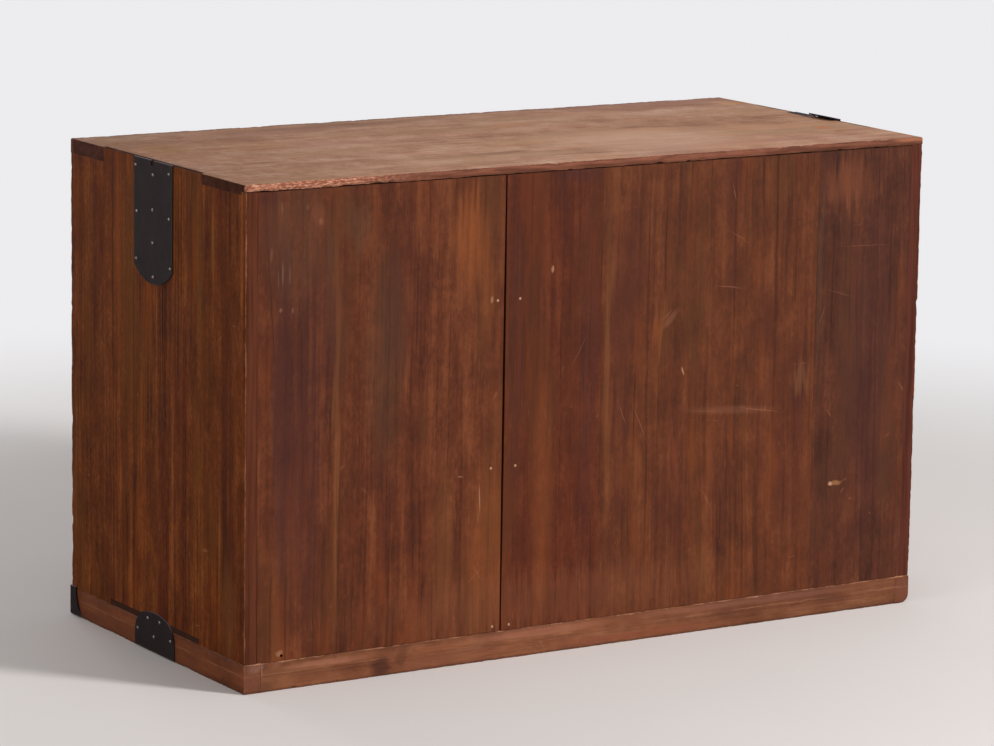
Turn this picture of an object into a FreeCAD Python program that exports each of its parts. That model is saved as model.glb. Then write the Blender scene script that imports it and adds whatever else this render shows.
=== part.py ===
"""Small tansu: a low wooden chest with four drawers, standing on a plain base frame.

Each piece is its own solid and is written to parts/NAME.step, in millimetres.
+Z is up and the drawers open towards -Y. The origin lies on the floor, at the
centre of the whole chest's outline, with its hanging handles counted in.
Left and right are those of someone who faces the drawers, so left is -X.
"""
import FreeCAD, Part
import math
import os

V = FreeCAD.Vector
OUT_RIGHT = V(1, 0, 0)
OUT_BACK = V(0, 1, 0)
OUT_FRONT = V(0, -1, 0)
UP = V(0, 0, 1)
NEAR = 0.1                 # how close an edge lies to a plane to count as on it

# ---------------------------------------------------------------- carcass
WIDTH = 757.0              # over the two side boards
DEPTH = 352.0              # front edge to back face
TOP_THICK = 14.0
SIDE_THICK = 17.0
BOTTOM_THICK = 10.0
BACK_THICK = 8.0
TOP_LIP = 7.0              # height of the top board's back edge above its rebate
BACK_TOP_GAP = 0.7         # the back boards have dropped this far below the rebate
BACK_LAP = 4.0             # the back boards lie this far onto each side board

BASE_HEIGHT = 28.0
BASE_RAIL_THICK = 17.5

# Clear heights of the three tiers, from the floor of each to the rail above it.
BOTTOM_TIER = 137.0
MIDDLE_TIER = 143.0
UPPER_TIER = 106.0

SHELF_THICK = 10.0
RAIL_HEIGHT = 16.0         # front rail of a shelf, flush with the shelf's top
RAIL_DEPTH = 26.0
RAIL_TENON = 6.0           # how far rails and shelves are let into the side boards
TENON_SHOULDER = 3.0       # the tenon is this much smaller than the rail
SHELF_TONGUE = 5.0
TONGUE_THICK = 4.0
TONGUE_STOP = 8.0          # the tongue stops this far short of each side board
DIVIDER_THICK = 14.0
DIVIDER_HOUSING = 2.0      # how far the divider is let into the top and the shelf

# Finger joints between the side boards and the top and bottom, along the depth.
TOP_FRONT_FINGER = 70.0
TOP_BACK_FINGER = 84.0
TOP_BACK_FINGER_THICK = 10.0
SIDE_LAP = 4.0             # between the fingers, the side board covers the top's edge
BOTTOM_FINGER_START = 83.0
BOTTOM_FINGER_LENGTH = 182.0
BOTTOM_FINGER_THICK = 5.5

# Back boards, from the right. The widest one takes what the others leave.
BACK_RIGHT_WIDTH = 261.0
BACK_NEXT_WIDTH = 107.0
BACK_LEFT_WIDTH = 112.0
SHRINKAGE_GAP = 1.6        # the open joint between the first two back boards
SHRINKAGE_BOW = 0.5        # each edge of that joint bows by this much
SEAM_OPENING = 0.6         # at the foot of the right-hand board's outer edge
SEAM_RISE = 230.0          # where that opening has closed, above the base

# Worn edges, as radii.
SIDE_ARRIS = 1.4
BACK_ARRIS = 2.2
CORNER_ARRIS = 1.0
BASE_CHAMFER = 1.5
FOOT_WEAR = 9.0            # the left base rail's lower edge, behind its plate
NICK_FROM_EDGE = 98.0      # a chip out of the lower edge of the back base rail
NICK_WIDTH = 3.0
NICK_HEIGHT = 2.4

# Bamboo pegs beside the open joint: distance to its left or right, one pair a level.
PEG_RADIUS = 1.3
PEG_LENGTH = 24.0
PEG_PROUD = 0.3
PEG_PAIRS = {
    "bottom": (-9.5, 9.0),
    "lower": (-14.0, 13.0),
    "upper": (-16.5, 8.0),
}
OLD_HOLE_RADIUS = 1.5      # empty nail hole low in the right-hand back board
OLD_HOLE_DEPTH = 6.0
OLD_HOLE_FROM_EDGE = 39.0
OLD_HOLE_ABOVE_BASE = 4.5

# ---------------------------------------------------------------- ironwork
IRON_THICK = 1.4
STRAP_WIDTH = 77.0
STRAP_LENGTH = 116.5
STRAP_END_RISE = 15.5      # how much the rounded lower end rises to its sides
STRAP_FROM_FRONT = 174.3   # centre line of the strap
STRAP_SLOT_WIDTH = 5.0
STRAP_SLOT_DEPTH = 3.6     # down to the middle of its round end
STRAP_SLOT_OFFSET = 1.4    # the slot lies this far in front of the strap's centre line
TAB_LENGTH = 11.0          # the left strap's tabs, folded over the top board
TAB_LIFT = 2.8             # how far the back tab is bent up at its end
BASE_PLATE_WIDTH = 80.0
BASE_PLATE_FROM_FRONT = 176.9   # centre line of the plate
BASE_PLATE_SHOULDER = 16.0
BASE_PLATE_CORNER = (34.5, 28.5)    # half width and height where the corner is roundest
BASE_PLATE_BROW = (20.0, 36.5)      # where the corner meets the flatter crown
BASE_PLATE_HEIGHT = 39.0
IRON_LIFT = 1.0            # the ironwork stops this far above the floor

CORNER_TOP = 29.0          # height of the corner irons' upper edge above the floor
CORNER_TOP_REACH = 10.0    # on the side
CORNER_FOOT_REACH = 22.0
CORNER_FRONT_TOP = 22.0    # on the front
CORNER_FRONT_FOOT = 46.0
CORNER_DIP = 3.0           # how far the curved edge is hollowed

# Nail places: (distance behind the centre line, distance below the top).
STRAP_NAILS = [
    (-35, 8), (0, 13.5), (32, 9), (-33, 51.5), (-1, 46.5),
    (32, 51), (-1, 77.5), (-34, 96.5), (34, 97), (0, 109.5),
]
# (distance behind the centre line, height above the floor)
BASE_PLATE_NAILS = [(-13, 31.5), (11, 32), (-34, 17.5), (-1, 15.5), (33, 18.5)]
# (distance in from the corner, height above the floor), on the front only
CORNER_NAILS = [(8, 22), (9, 8), (30, 8)]
NAIL_HEAD_RADIUS = 1.7
NAIL_HEAD_HEIGHT = 0.9
NAIL_RADIUS = 0.8
NAIL_LENGTH = 13.0
NAIL_POINT = 4.0

# ---------------------------------------------------------------- drawers
FRONT_THICK = 18.0
FRONT_RECESS = 1.0         # drawer fronts lie this far behind the carcass edge
FRONT_LIP = 8.0            # what is left of the front where sides and bottom meet it
FRONT_CHAMFER = 0.8
DRAWER_SIDE = 9.0
DRAWER_BACK = 9.0
DRAWER_BOTTOM = 6.0
SIDE_BELOW_FRONT = 4.0     # drawer sides stop this far below the front's top edge
SIDE_GAP = 0.8
TOP_GAP = 1.0
RUN_GAP = 0.3              # between the drawer and the surface that it runs on
STOP_GAP = 0.3
STOP_LENGTH = 36.0
STOP_THICK = 10.0
STOP_HEIGHT = 12.0
STOP_FROM_SIDE = 60.0

# ---------------------------------------------------------------- handles
HANDLE_SPAN = 90.0         # between the two eyes
HANDLE_RISE = 12.0         # the eyes' height above the middle of the drawer front
HANDLE_DROP = 32.0         # from the eyes down to the grip's centre line
EYE_STANDOFF = 8.0         # drawer face to the eye's centre
EYE_RADIUS = 4.6
EYE_WIDTH = 3.6
PIN_RADIUS = 2.0
PIN_CLEARANCE = 0.1
BAIL_RADIUS = 2.8
GRIP_RADIUS = 3.7          # the grip swells to this at its middle
BAIL_BEND = 11.0           # centre-line radius of the bail's lower corners
ARM_INSET = 5.5            # from the eye's middle to the bail's arm
KNOB_RADIUS = 3.4
KNOB_LENGTH = 6.0
KNOB_BELLY = 2.7           # where the knob is thickest, from its inner end
KNOB_GAP = 0.6             # between an eye and the knob
POST_RADIUS = 1.9
CLINCH_LENGTH = 12.0       # each leg, bent flat inside the drawer front
CLINCH_WIDTH = 2.2
CLINCH_THICK = 1.2
ROSETTE_RADIUS = 11.5
ROSETTE_EDGE = 0.8
ROSETTE_CROWN = 2.2

# ---------------------------------------------------------------- derived planes
HANDLE_REACH = EYE_STANDOFF + EYE_RADIUS - FRONT_RECESS
Y_FRONT = (HANDLE_REACH - DEPTH) / 2
Y_BACK = Y_FRONT + DEPTH
Y_PANEL = Y_BACK - BACK_THICK
RAIL_BACK = Y_FRONT + RAIL_DEPTH
X_OUT = WIDTH / 2
X_IN = X_OUT - SIDE_THICK
X_PANEL = X_IN + BACK_LAP

FLOOR_TOP = BASE_HEIGHT + BOTTOM_THICK
LOWER_SHELF = FLOOR_TOP + BOTTOM_TIER + RAIL_HEIGHT
UPPER_SHELF = LOWER_SHELF + MIDDLE_TIER + RAIL_HEIGHT
CEILING = UPPER_SHELF + UPPER_TIER
HEIGHT = CEILING + TOP_THICK
REBATE_TOP = HEIGHT - TOP_LIP
PANEL_TOP = REBATE_TOP - BACK_TOP_GAP

STOP_FRONT = Y_PANEL - STOP_THICK
DRAWER_FACE = Y_FRONT + FRONT_RECESS
DRAWER_TAIL = STOP_FRONT - STOP_GAP
HINGE_Y = DRAWER_FACE - EYE_STANDOFF
STRAP_Y = Y_FRONT + STRAP_FROM_FRONT
SLOT_Y = STRAP_Y - STRAP_SLOT_OFFSET
BASE_PLATE_Y = Y_FRONT + BASE_PLATE_FROM_FRONT
GAP_X = X_PANEL - BACK_RIGHT_WIDTH - SHRINKAGE_GAP / 2


# ---------------------------------------------------------------- helpers
def block(x_span, y_span, z_span):
    """A square-edged board between three pairs of planes."""
    size = [span[1] - span[0] for span in (x_span, y_span, z_span)]
    return Part.makeBox(*size, V(x_span[0], y_span[0], z_span[0]))


def across(half_width):
    """The X span of a piece that is centred on the chest."""
    return (-half_width, half_width)


def mirrored(shape):
    """The same piece on the other side of the chest."""
    return shape.mirror(V(0, 0, 0), OUT_RIGHT)


def less(shape, *cutters):
    """The shape with a seat cut for each piece that is let into it."""
    return shape.cut(list(cutters)).removeSplitter()


def turned(profile_points, arc_middle=None):
    """A solid turned about the Z axis from points (radius, height).

    The first and last points lie on the axis. With arc_middle, the first
    stretch is an arc through that point.
    """
    points = [V(r, 0, z) for r, z in profile_points]
    edges = []
    for index in range(len(points)):
        start = points[index]
        end = points[(index + 1) % len(points)]
        if index == 0 and arc_middle:
            middle = V(arc_middle[0], 0, arc_middle[1])
            edges.append(Part.Arc(start, middle, end).toShape())
        else:
            edges.append(Part.makeLine(start, end))
    face = Part.Face(Part.Wire(edges))
    return face.revolve(V(0, 0, 0), UP, 360)


def dome_middle(crown, rim):
    """A point on the round dome from its crown, on the axis, to its rim."""
    radius, rise = rim[0], crown[1] - rim[1]
    sphere = (radius ** 2 + rise ** 2) / (2 * rise)
    height = math.sqrt(sphere ** 2 - (radius / 2) ** 2) - (sphere - rise)
    return (radius / 2, rim[1] + height)


def stood_on(shape, place, outward):
    """A piece made along +Z from the origin, set down at a place on a face."""
    standing = shape.copy()
    standing.Placement = FreeCAD.Placement(place, FreeCAD.Rotation(UP, outward))
    return standing


def rounding(corner, first_inward, second_inward, along, radius):
    """The sliver that a worn edge has lost: a square corner less its arc."""
    first = corner + first_inward * radius
    second = corner + second_inward * radius
    centre = first + second_inward * radius
    middle = centre + (corner - centre).normalize() * radius
    edges = [
        Part.makeLine(corner, first),
        Part.Arc(first, middle, second).toShape(),
        Part.makeLine(second, corner),
    ]
    return Part.Face(Part.Wire(edges)).extrude(along)


def plate(outline, place, thickness_vector):
    """A flat plate from an outline of edges drawn at the origin."""
    face = Part.Face(Part.Wire(outline))
    flat = face.extrude(thickness_vector)
    flat.translate(place)
    return flat


# ---------------------------------------------------------------- carcass pieces
def worn_edges():
    """What wear has taken off the outer edges of the top and the back corners."""
    whole_depth = V(0, DEPTH, 0)
    side = rounding(V(X_OUT, Y_FRONT, HEIGHT), V(-1, 0, 0), V(0, 0, -1), whole_depth, SIDE_ARRIS)
    whole_width = V(WIDTH, 0, 0)
    back = rounding(V(-X_OUT, Y_BACK, HEIGHT), V(0, -1, 0), V(0, 0, -1), whole_width, BACK_ARRIS)
    front = rounding(V(-X_OUT, Y_FRONT, HEIGHT), V(0, 1, 0), V(0, 0, -1), whole_width, SIDE_ARRIS)
    whole_height = V(0, 0, HEIGHT)
    corner = rounding(V(X_OUT, Y_BACK, 0), V(-1, 0, 0), V(0, -1, 0), whole_height, CORNER_ARRIS)
    return [side, mirrored(side), back, front, corner, mirrored(corner)]


def top_board():
    """The top, with two fingers at each end and a rebate for the back boards."""
    board = block(across(X_OUT), (Y_FRONT, Y_BACK), (CEILING, HEIGHT))
    notch = block(
        (X_OUT - SIDE_LAP, X_OUT),
        (Y_FRONT + TOP_FRONT_FINGER, Y_BACK - TOP_BACK_FINGER),
        (CEILING, HEIGHT),
    )
    under_finger = block(
        (X_OUT - SIDE_LAP, X_OUT),
        (Y_BACK - TOP_BACK_FINGER, Y_BACK),
        (CEILING, HEIGHT - TOP_BACK_FINGER_THICK),
    )
    rebate = block(across(X_OUT), (Y_PANEL, Y_BACK), (CEILING, REBATE_TOP))
    right = [notch, under_finger]
    return less(board, *right, *[mirrored(cut) for cut in right], rebate)


def back_recess():
    """The room for the back boards that is rebated out of both side boards."""
    return block(across(X_PANEL), (Y_PANEL, Y_BACK), (BASE_HEIGHT, REBATE_TOP))


def bottom_board():
    """The bottom, with one long finger at each end. The back boards cover its edge."""
    board = block(across(X_IN), (Y_FRONT, Y_PANEL), (BASE_HEIGHT, FLOOR_TOP))
    finger_start = Y_FRONT + BOTTOM_FINGER_START
    finger = block(
        across(X_OUT),
        (finger_start, finger_start + BOTTOM_FINGER_LENGTH),
        (BASE_HEIGHT, BASE_HEIGHT + BOTTOM_FINGER_THICK),
    )
    return board.fuse(finger).removeSplitter()


def shelf(top):
    """A shelf, housed in both side boards, with a tongue for its front rail."""
    board = block(across(X_IN + RAIL_TENON), (RAIL_BACK, Y_PANEL), (top - SHELF_THICK, top))
    tongue_low = top - (SHELF_THICK + TONGUE_THICK) / 2
    tongue = block(
        across(X_IN - TONGUE_STOP),
        (RAIL_BACK - SHELF_TONGUE, RAIL_BACK),
        (tongue_low, tongue_low + TONGUE_THICK),
    )
    return board.fuse(tongue).removeSplitter()


def front_rail(top):
    """The rail in front of a shelf, with a stub tenon at each end."""
    rail = block(across(X_IN), (Y_FRONT, RAIL_BACK), (top - RAIL_HEIGHT, top))
    tenon = block(
        across(X_IN + RAIL_TENON),
        (Y_FRONT + TENON_SHOULDER, RAIL_BACK - TENON_SHOULDER),
        (top - RAIL_HEIGHT + TENON_SHOULDER, top - TENON_SHOULDER),
    )
    return rail.fuse(tenon).removeSplitter()


def centre_divider():
    """The upright between the two upper drawers, let into the top and the shelf."""
    return block(
        across(DIVIDER_THICK / 2),
        (Y_FRONT, Y_PANEL),
        (UPPER_SHELF - DIVIDER_HOUSING, CEILING + DIVIDER_HOUSING),
    )


def back_boards():
    """Upright back boards, right to left. The first two have shrunk apart."""
    gap_right = X_PANEL - BACK_RIGHT_WIDTH
    gap_left = gap_right - SHRINKAGE_GAP
    second_joint = gap_left - BACK_NEXT_WIDTH
    third_joint = BACK_LEFT_WIDTH - X_PANEL
    upright = (BASE_HEIGHT, PANEL_TOP)
    thickness = (Y_PANEL, Y_BACK)
    boards = [
        block((gap_right, X_PANEL), thickness, upright),
        block((second_joint, gap_left), thickness, upright),
        block((third_joint, second_joint), thickness, upright),
        block((-X_PANEL, third_joint), thickness, upright),
    ]
    hollow = bowed_edge(gap_right, SHRINKAGE_BOW)
    boards[0] = less(boards[0], hollow, open_seam(), old_nail_hole())
    boards[1] = less(boards[1], bowed_edge(gap_left, -SHRINKAGE_BOW))
    return boards


def bowed_edge(x, bow):
    """The shaving by which an upright board edge at x is hollow by the bow."""
    low = V(x, Y_PANEL, BASE_HEIGHT)
    high = V(x, Y_PANEL, PANEL_TOP)
    middle = V(x + bow, Y_PANEL, (BASE_HEIGHT + PANEL_TOP) / 2)
    edges = [Part.Arc(low, middle, high).toShape(), Part.makeLine(high, low)]
    return Part.Face(Part.Wire(edges)).extrude(V(0, BACK_THICK, 0))


def open_seam():
    """The long wedge by which the right-hand board's outer edge has come away."""
    outline = [
        V(X_PANEL, Y_PANEL, BASE_HEIGHT),
        V(X_PANEL - SEAM_OPENING, Y_PANEL, BASE_HEIGHT),
        V(X_PANEL, Y_PANEL, BASE_HEIGHT + SEAM_RISE),
        V(X_PANEL, Y_PANEL, BASE_HEIGHT),
    ]
    return Part.Face(Part.makePolygon(outline)).extrude(V(0, BACK_THICK, 0))


def old_nail_hole():
    """An empty nail hole near the bottom of the right-hand back board."""
    place = V(X_OUT - OLD_HOLE_FROM_EDGE, Y_BACK, BASE_HEIGHT + OLD_HOLE_ABOVE_BASE)
    return Part.makeCylinder(OLD_HOLE_RADIUS, OLD_HOLE_DEPTH, place, V(0, -1, 0))


def back_pegs():
    """Three pairs of pegs beside the open joint, into the bottom and both shelves."""
    levels = {
        "bottom": FLOOR_TOP - BOTTOM_THICK / 2,
        "lower": LOWER_SHELF - SHELF_THICK / 2,
        "upper": UPPER_SHELF - SHELF_THICK / 2,
    }
    pegs = []
    for level, height in levels.items():
        for offset in PEG_PAIRS[level]:
            place = V(GAP_X + offset, Y_BACK + PEG_PROUD, height)
            pegs.append(Part.makeCylinder(PEG_RADIUS, PEG_LENGTH, place, V(0, -1, 0)))
    return pegs


def base_rails():
    """The base frame: side rails run the whole depth, front and back between them."""
    inner = X_OUT - BASE_RAIL_THICK
    side = block((inner, X_OUT), (Y_FRONT, Y_BACK), (0, BASE_HEIGHT))
    side = chamfered(side, lambda p: p.x > X_OUT - NEAR and p.z > BASE_HEIGHT - NEAR)
    back = block(across(inner), (Y_BACK - BASE_RAIL_THICK, Y_BACK), (0, BASE_HEIGHT))
    back = chamfered(back, lambda p: p.y > Y_BACK - NEAR and p.z > BASE_HEIGHT - NEAR)
    front = block(across(inner), (Y_FRONT, Y_FRONT + BASE_RAIL_THICK), (0, BASE_HEIGHT))
    return side, less(back, nick()), front


def nick():
    """A small chip, three-cornered, in the lower edge of the back base rail."""
    middle = X_OUT - NICK_FROM_EDGE
    outline = [
        V(middle - NICK_WIDTH / 2, Y_BACK, 0),
        V(middle + NICK_WIDTH / 2, Y_BACK, 0),
        V(middle, Y_BACK, NICK_HEIGHT),
        V(middle - NICK_WIDTH / 2, Y_BACK, 0),
    ]
    return Part.Face(Part.makePolygon(outline)).extrude(V(0, -NICK_WIDTH, 0))


def worn_foot():
    """The rounded lower edge of the left base rail, from under its plate to the back."""
    start = BASE_PLATE_Y + BASE_PLATE_WIDTH / 2 - IRON_THICK
    along = V(0, Y_BACK - start, 0)
    return rounding(V(-X_OUT, start, 0), OUT_RIGHT, UP, along, FOOT_WEAR)


def chamfered(shape, wanted, size=BASE_CHAMFER):
    """The shape with a chamfer on each edge whose middle the test picks."""
    edges = [edge for edge in shape.Edges if wanted(edge.CenterOfMass)]
    return shape.makeChamfer(size, edges)


def drawer_stops():
    """Blocks glued at the back of each tier, two to a tier, where the drawers end."""
    stops = []
    for level in (FLOOR_TOP, LOWER_SHELF, UPPER_SHELF):
        start = X_IN - STOP_FROM_SIDE - STOP_LENGTH
        stop = block(
            (start, start + STOP_LENGTH),
            (STOP_FRONT, Y_PANEL),
            (level, level + STOP_HEIGHT),
        )
        stops += [stop, mirrored(stop)]
    return stops


# ---------------------------------------------------------------- ironwork pieces
def strap_outline():
    """Strap outline about its centre line: Y is along the depth, Z down from the top."""
    half = STRAP_WIDTH / 2
    slot_front = -STRAP_SLOT_OFFSET - STRAP_SLOT_WIDTH / 2
    slot_back = slot_front + STRAP_SLOT_WIDTH
    side_foot = STRAP_END_RISE - STRAP_LENGTH
    slot_corners = [
        V(0, slot_back, 0), V(0, slot_back, -STRAP_SLOT_DEPTH),
        V(0, slot_front, -STRAP_SLOT_DEPTH), V(0, slot_front, 0),
    ]
    back_corners = [V(0, half, side_foot), V(0, half, 0)]
    front_corners = [V(0, -half, 0), V(0, -half, side_foot)]
    corners = back_corners + slot_corners + front_corners
    edges = [Part.makeLine(a, b) for a, b in zip(corners, corners[1:])]
    foot = Part.Arc(corners[-1], V(0, 0, -STRAP_LENGTH), corners[0])
    return edges + [foot.toShape()]


def side_strap():
    """The iron strap on the right side board, flush with the top of the chest."""
    strap = plate(strap_outline(), V(X_OUT, STRAP_Y, HEIGHT), OUT_RIGHT * IRON_THICK)
    slot_foot = V(X_OUT, SLOT_Y, HEIGHT - STRAP_SLOT_DEPTH)
    round_end = Part.makeCylinder(STRAP_SLOT_WIDTH / 2, IRON_THICK, slot_foot, OUT_RIGHT)
    return less(strap, round_end)


def flat_tab():
    """The left strap's front tab, let in flush with the top. Drawn on the right."""
    return block(
        (X_OUT - TAB_LENGTH, X_OUT),
        (STRAP_Y - STRAP_WIDTH / 2, SLOT_Y - STRAP_SLOT_WIDTH / 2),
        (HEIGHT - IRON_THICK, HEIGHT),
    )


def bent_tab():
    """The left strap's back tab, which has worked loose and bent up. Drawn on the right."""
    start = SLOT_Y + STRAP_SLOT_WIDTH / 2
    end_x = X_OUT - TAB_LENGTH
    outline = Part.makePolygon([
        V(X_OUT, start, HEIGHT),
        V(X_OUT + IRON_THICK, start, HEIGHT),
        V(X_OUT + IRON_THICK, start, HEIGHT + IRON_THICK),
        V(end_x, start, HEIGHT + TAB_LIFT + IRON_THICK),
        V(end_x, start, HEIGHT + TAB_LIFT),
        V(X_OUT, start, HEIGHT),
    ])
    return Part.Face(outline).extrude(V(0, STRAP_Y + STRAP_WIDTH / 2 - start, 0))


def base_plate():
    """The plate that ties the right side board to its base rail, with rounded shoulders."""
    half = BASE_PLATE_WIDTH / 2
    profile = [(half, BASE_PLATE_SHOULDER), BASE_PLATE_CORNER, BASE_PLATE_BROW]
    left = [V(0, -reach, height) for reach, height in profile]
    right = [V(0, reach, height) for reach, height in reversed(profile)]
    left_foot, right_foot = V(0, -half, IRON_LIFT), V(0, half, IRON_LIFT)
    outline = [
        Part.makeLine(left_foot, left[0]),
        Part.Arc(*left).toShape(),
        Part.Arc(left[-1], V(0, 0, BASE_PLATE_HEIGHT), right[0]).toShape(),
        Part.Arc(*right).toShape(),
        Part.makeLine(right[-1], right_foot),
        Part.makeLine(right_foot, left_foot),
    ]
    return plate(outline, V(X_OUT, BASE_PLATE_Y, 0), OUT_RIGHT * IRON_THICK)


def hollow_leg(along, top_reach, foot_reach):
    """One leg of a corner iron, drawn from the corner, with a hollow curved edge."""
    foot = IRON_LIFT
    head = CORNER_TOP
    top = along * top_reach + V(0, 0, head)
    low = along * foot_reach + V(0, 0, foot)
    middle = (top + low) / 2 - along * CORNER_DIP
    return [
        Part.makeLine(V(0, 0, foot), V(0, 0, head)),
        Part.makeLine(V(0, 0, head), top),
        Part.Arc(top, middle, low).toShape(),
        Part.makeLine(low, V(0, 0, foot)),
    ]


def corner_iron():
    """The iron that wraps the right front corner of the base."""
    corner = V(X_OUT, Y_FRONT, 0)
    side_leg = hollow_leg(OUT_BACK, CORNER_TOP_REACH, CORNER_FOOT_REACH)
    front_leg = hollow_leg(V(-1, 0, 0), CORNER_FRONT_TOP, CORNER_FRONT_FOOT)
    side = plate(side_leg, corner, OUT_RIGHT * IRON_THICK)
    front = plate(front_leg, corner, OUT_FRONT * IRON_THICK)
    bend = block(
        (X_OUT, X_OUT + IRON_THICK),
        (Y_FRONT - IRON_THICK, Y_FRONT),
        (IRON_LIFT, CORNER_TOP),
    )
    return side.fuse([front, bend]).removeSplitter()


def nail():
    """A round-headed nail: the head stands on Z = 0 and the shank points down."""
    shoulder = NAIL_POINT - NAIL_LENGTH
    profile = [
        (0, NAIL_HEAD_HEIGHT), (NAIL_HEAD_RADIUS, 0), (NAIL_RADIUS, 0),
        (NAIL_RADIUS, shoulder), (0, -NAIL_LENGTH),
    ]
    return turned(profile, dome_middle(profile[0], profile[1]))


def right_side_nails():
    """The nails of the right strap, base plate and corner iron."""
    face = X_OUT + IRON_THICK
    places = [V(face, STRAP_Y + back, HEIGHT - down) for back, down in STRAP_NAILS]
    places += [V(face, BASE_PLATE_Y + back, height) for back, height in BASE_PLATE_NAILS]
    nails = [stood_on(nail(), place, OUT_RIGHT) for place in places]
    front = Y_FRONT - IRON_THICK
    for inward, height in CORNER_NAILS:
        nails.append(stood_on(nail(), V(X_OUT - inward, front, height), OUT_FRONT))
    return nails


# ---------------------------------------------------------------- handle pieces
def handle_post(x, z):
    """A split post: an eye in front, a shank through the wood, two legs bent flat."""
    inside = DRAWER_FACE + FRONT_THICK
    eye = Part.makeCylinder(EYE_RADIUS, EYE_WIDTH, V(x - EYE_WIDTH / 2, HINGE_Y, z), OUT_RIGHT)
    shank = Part.makeCylinder(POST_RADIUS, inside - HINGE_Y, V(x, HINGE_Y, z), OUT_BACK)
    legs = block(
        (x - CLINCH_WIDTH / 2, x + CLINCH_WIDTH / 2),
        (inside, inside + CLINCH_THICK),
        (z - CLINCH_LENGTH, z + CLINCH_LENGTH),
    )
    hole = Part.makeCylinder(
        PIN_RADIUS + PIN_CLEARANCE, 2 * EYE_WIDTH, V(x - EYE_WIDTH, HINGE_Y, z), OUT_RIGHT
    )
    return less(eye.fuse([shank, legs]), hole)


def rosette(x, z):
    """A domed washer between the eye and the drawer front."""
    profile = [(0, ROSETTE_CROWN), (ROSETTE_RADIUS, ROSETTE_EDGE), (ROSETTE_RADIUS, 0), (0, 0)]
    dome = turned(profile, dome_middle(profile[0], profile[1]))
    return stood_on(dome, V(x, DRAWER_FACE, z), OUT_FRONT)


def knob():
    """The turned end of a bail, standing on the eye's side of the pin."""
    middle = (KNOB_RADIUS, KNOB_BELLY)
    profile = [(0, KNOB_LENGTH), (PIN_RADIUS, 0), (0, 0)]
    return turned(profile, middle)


def bail(x, z):
    """A hanging handle: pins and knobs in the eyes, arms, bends and a swelled grip."""
    arm_x = HANDLE_SPAN / 2 - ARM_INSET
    pin_end = HANDLE_SPAN / 2 + EYE_WIDTH / 2 + KNOB_GAP
    bend_centre = V(arm_x - BAIL_BEND, 0, BAIL_BEND - HANDLE_DROP)
    pin = Part.makeCylinder(PIN_RADIUS, pin_end - arm_x, V(arm_x, 0, 0), OUT_RIGHT)
    shoulder = Part.makeSphere(BAIL_RADIUS, V(arm_x, 0, 0))
    arm = Part.makeCylinder(BAIL_RADIUS, HANDLE_DROP - BAIL_BEND, V(arm_x, 0, 0), V(0, 0, -1))
    section = Part.makeCircle(BAIL_RADIUS, V(arm_x, 0, bend_centre.z), UP)
    bend = Part.Face(Part.Wire([section])).revolve(bend_centre, OUT_BACK, 90)
    end = stood_on(knob(), V(pin_end, 0, 0), OUT_RIGHT)
    half = [pin, shoulder, arm, bend, end]
    whole = grip(bend_centre.x).fuse(half + [mirrored(piece) for piece in half])
    whole = whole.removeSplitter()
    whole.translate(V(x, HINGE_Y, z))
    return whole


def grip(half_length):
    """The bail's lower bar, thickest at its middle."""
    edges = [
        Part.makeLine(V(-half_length, 0, 0), V(-half_length, 0, BAIL_RADIUS)),
        Part.Arc(
            V(-half_length, 0, BAIL_RADIUS), V(0, 0, GRIP_RADIUS), V(half_length, 0, BAIL_RADIUS)
        ).toShape(),
        Part.makeLine(V(half_length, 0, BAIL_RADIUS), V(half_length, 0, 0)),
        Part.makeLine(V(half_length, 0, 0), V(-half_length, 0, 0)),
    ]
    bar = Part.Face(Part.Wire(edges)).revolve(V(0, 0, 0), OUT_RIGHT, 360)
    bar.translate(V(0, 0, -HANDLE_DROP))
    return bar


# ---------------------------------------------------------------- drawers
def drawer(name, x_span, z_span, handle_centres):
    """The pieces of one drawer in its opening, with a handle at each centre."""
    left, right = x_span[0] + SIDE_GAP, x_span[1] - SIDE_GAP
    under, over = z_span[0] + RUN_GAP, z_span[1] - TOP_GAP
    floor = under + DRAWER_BOTTOM
    rim = over - SIDE_BELOW_FRONT
    rebate = DRAWER_FACE + FRONT_LIP
    walls = (floor, rim)
    bottom = block((left, right), (rebate, DRAWER_TAIL), (under, floor))
    side_left = block((left, left + DRAWER_SIDE), (rebate, DRAWER_TAIL), walls)
    side_right = block((right - DRAWER_SIDE, right), (rebate, DRAWER_TAIL), walls)
    back_span = (left + DRAWER_SIDE, right - DRAWER_SIDE)
    back = block(back_span, (DRAWER_TAIL - DRAWER_BACK, DRAWER_TAIL), walls)
    front = block((left, right), (DRAWER_FACE, DRAWER_FACE + FRONT_THICK), (under, over))
    front = chamfered(front, lambda p: p.y < DRAWER_FACE + NEAR, FRONT_CHAMFER)

    eye_height = (under + over) / 2 + HANDLE_RISE
    eyes = [centre + side * HANDLE_SPAN / 2 for centre in handle_centres for side in (-1, 1)]
    posts = [handle_post(x, eye_height) for x in eyes]
    washers = [less(rosette(x, eye_height), *posts) for x in eyes]
    front = less(front, bottom, side_left, side_right, *posts)
    return {
        name + "_front": front,
        name + "_left_side": side_left,
        name + "_right_side": side_right,
        name + "_back": back,
        name + "_bottom": bottom,
        name + "_handle_posts": Part.makeCompound(posts),
        name + "_rosettes": Part.makeCompound(washers),
        **{
            bail_name(name, centre, len(handle_centres)): bail(centre, eye_height)
            for centre in handle_centres
        },
    }


def bail_name(drawer_name, centre, count):
    """One handle is the drawer's handle; of two, each is named for its side."""
    if count == 1:
        return drawer_name + "_handle"
    return drawer_name + ("_left_handle" if centre < 0 else "_right_handle")


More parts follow.
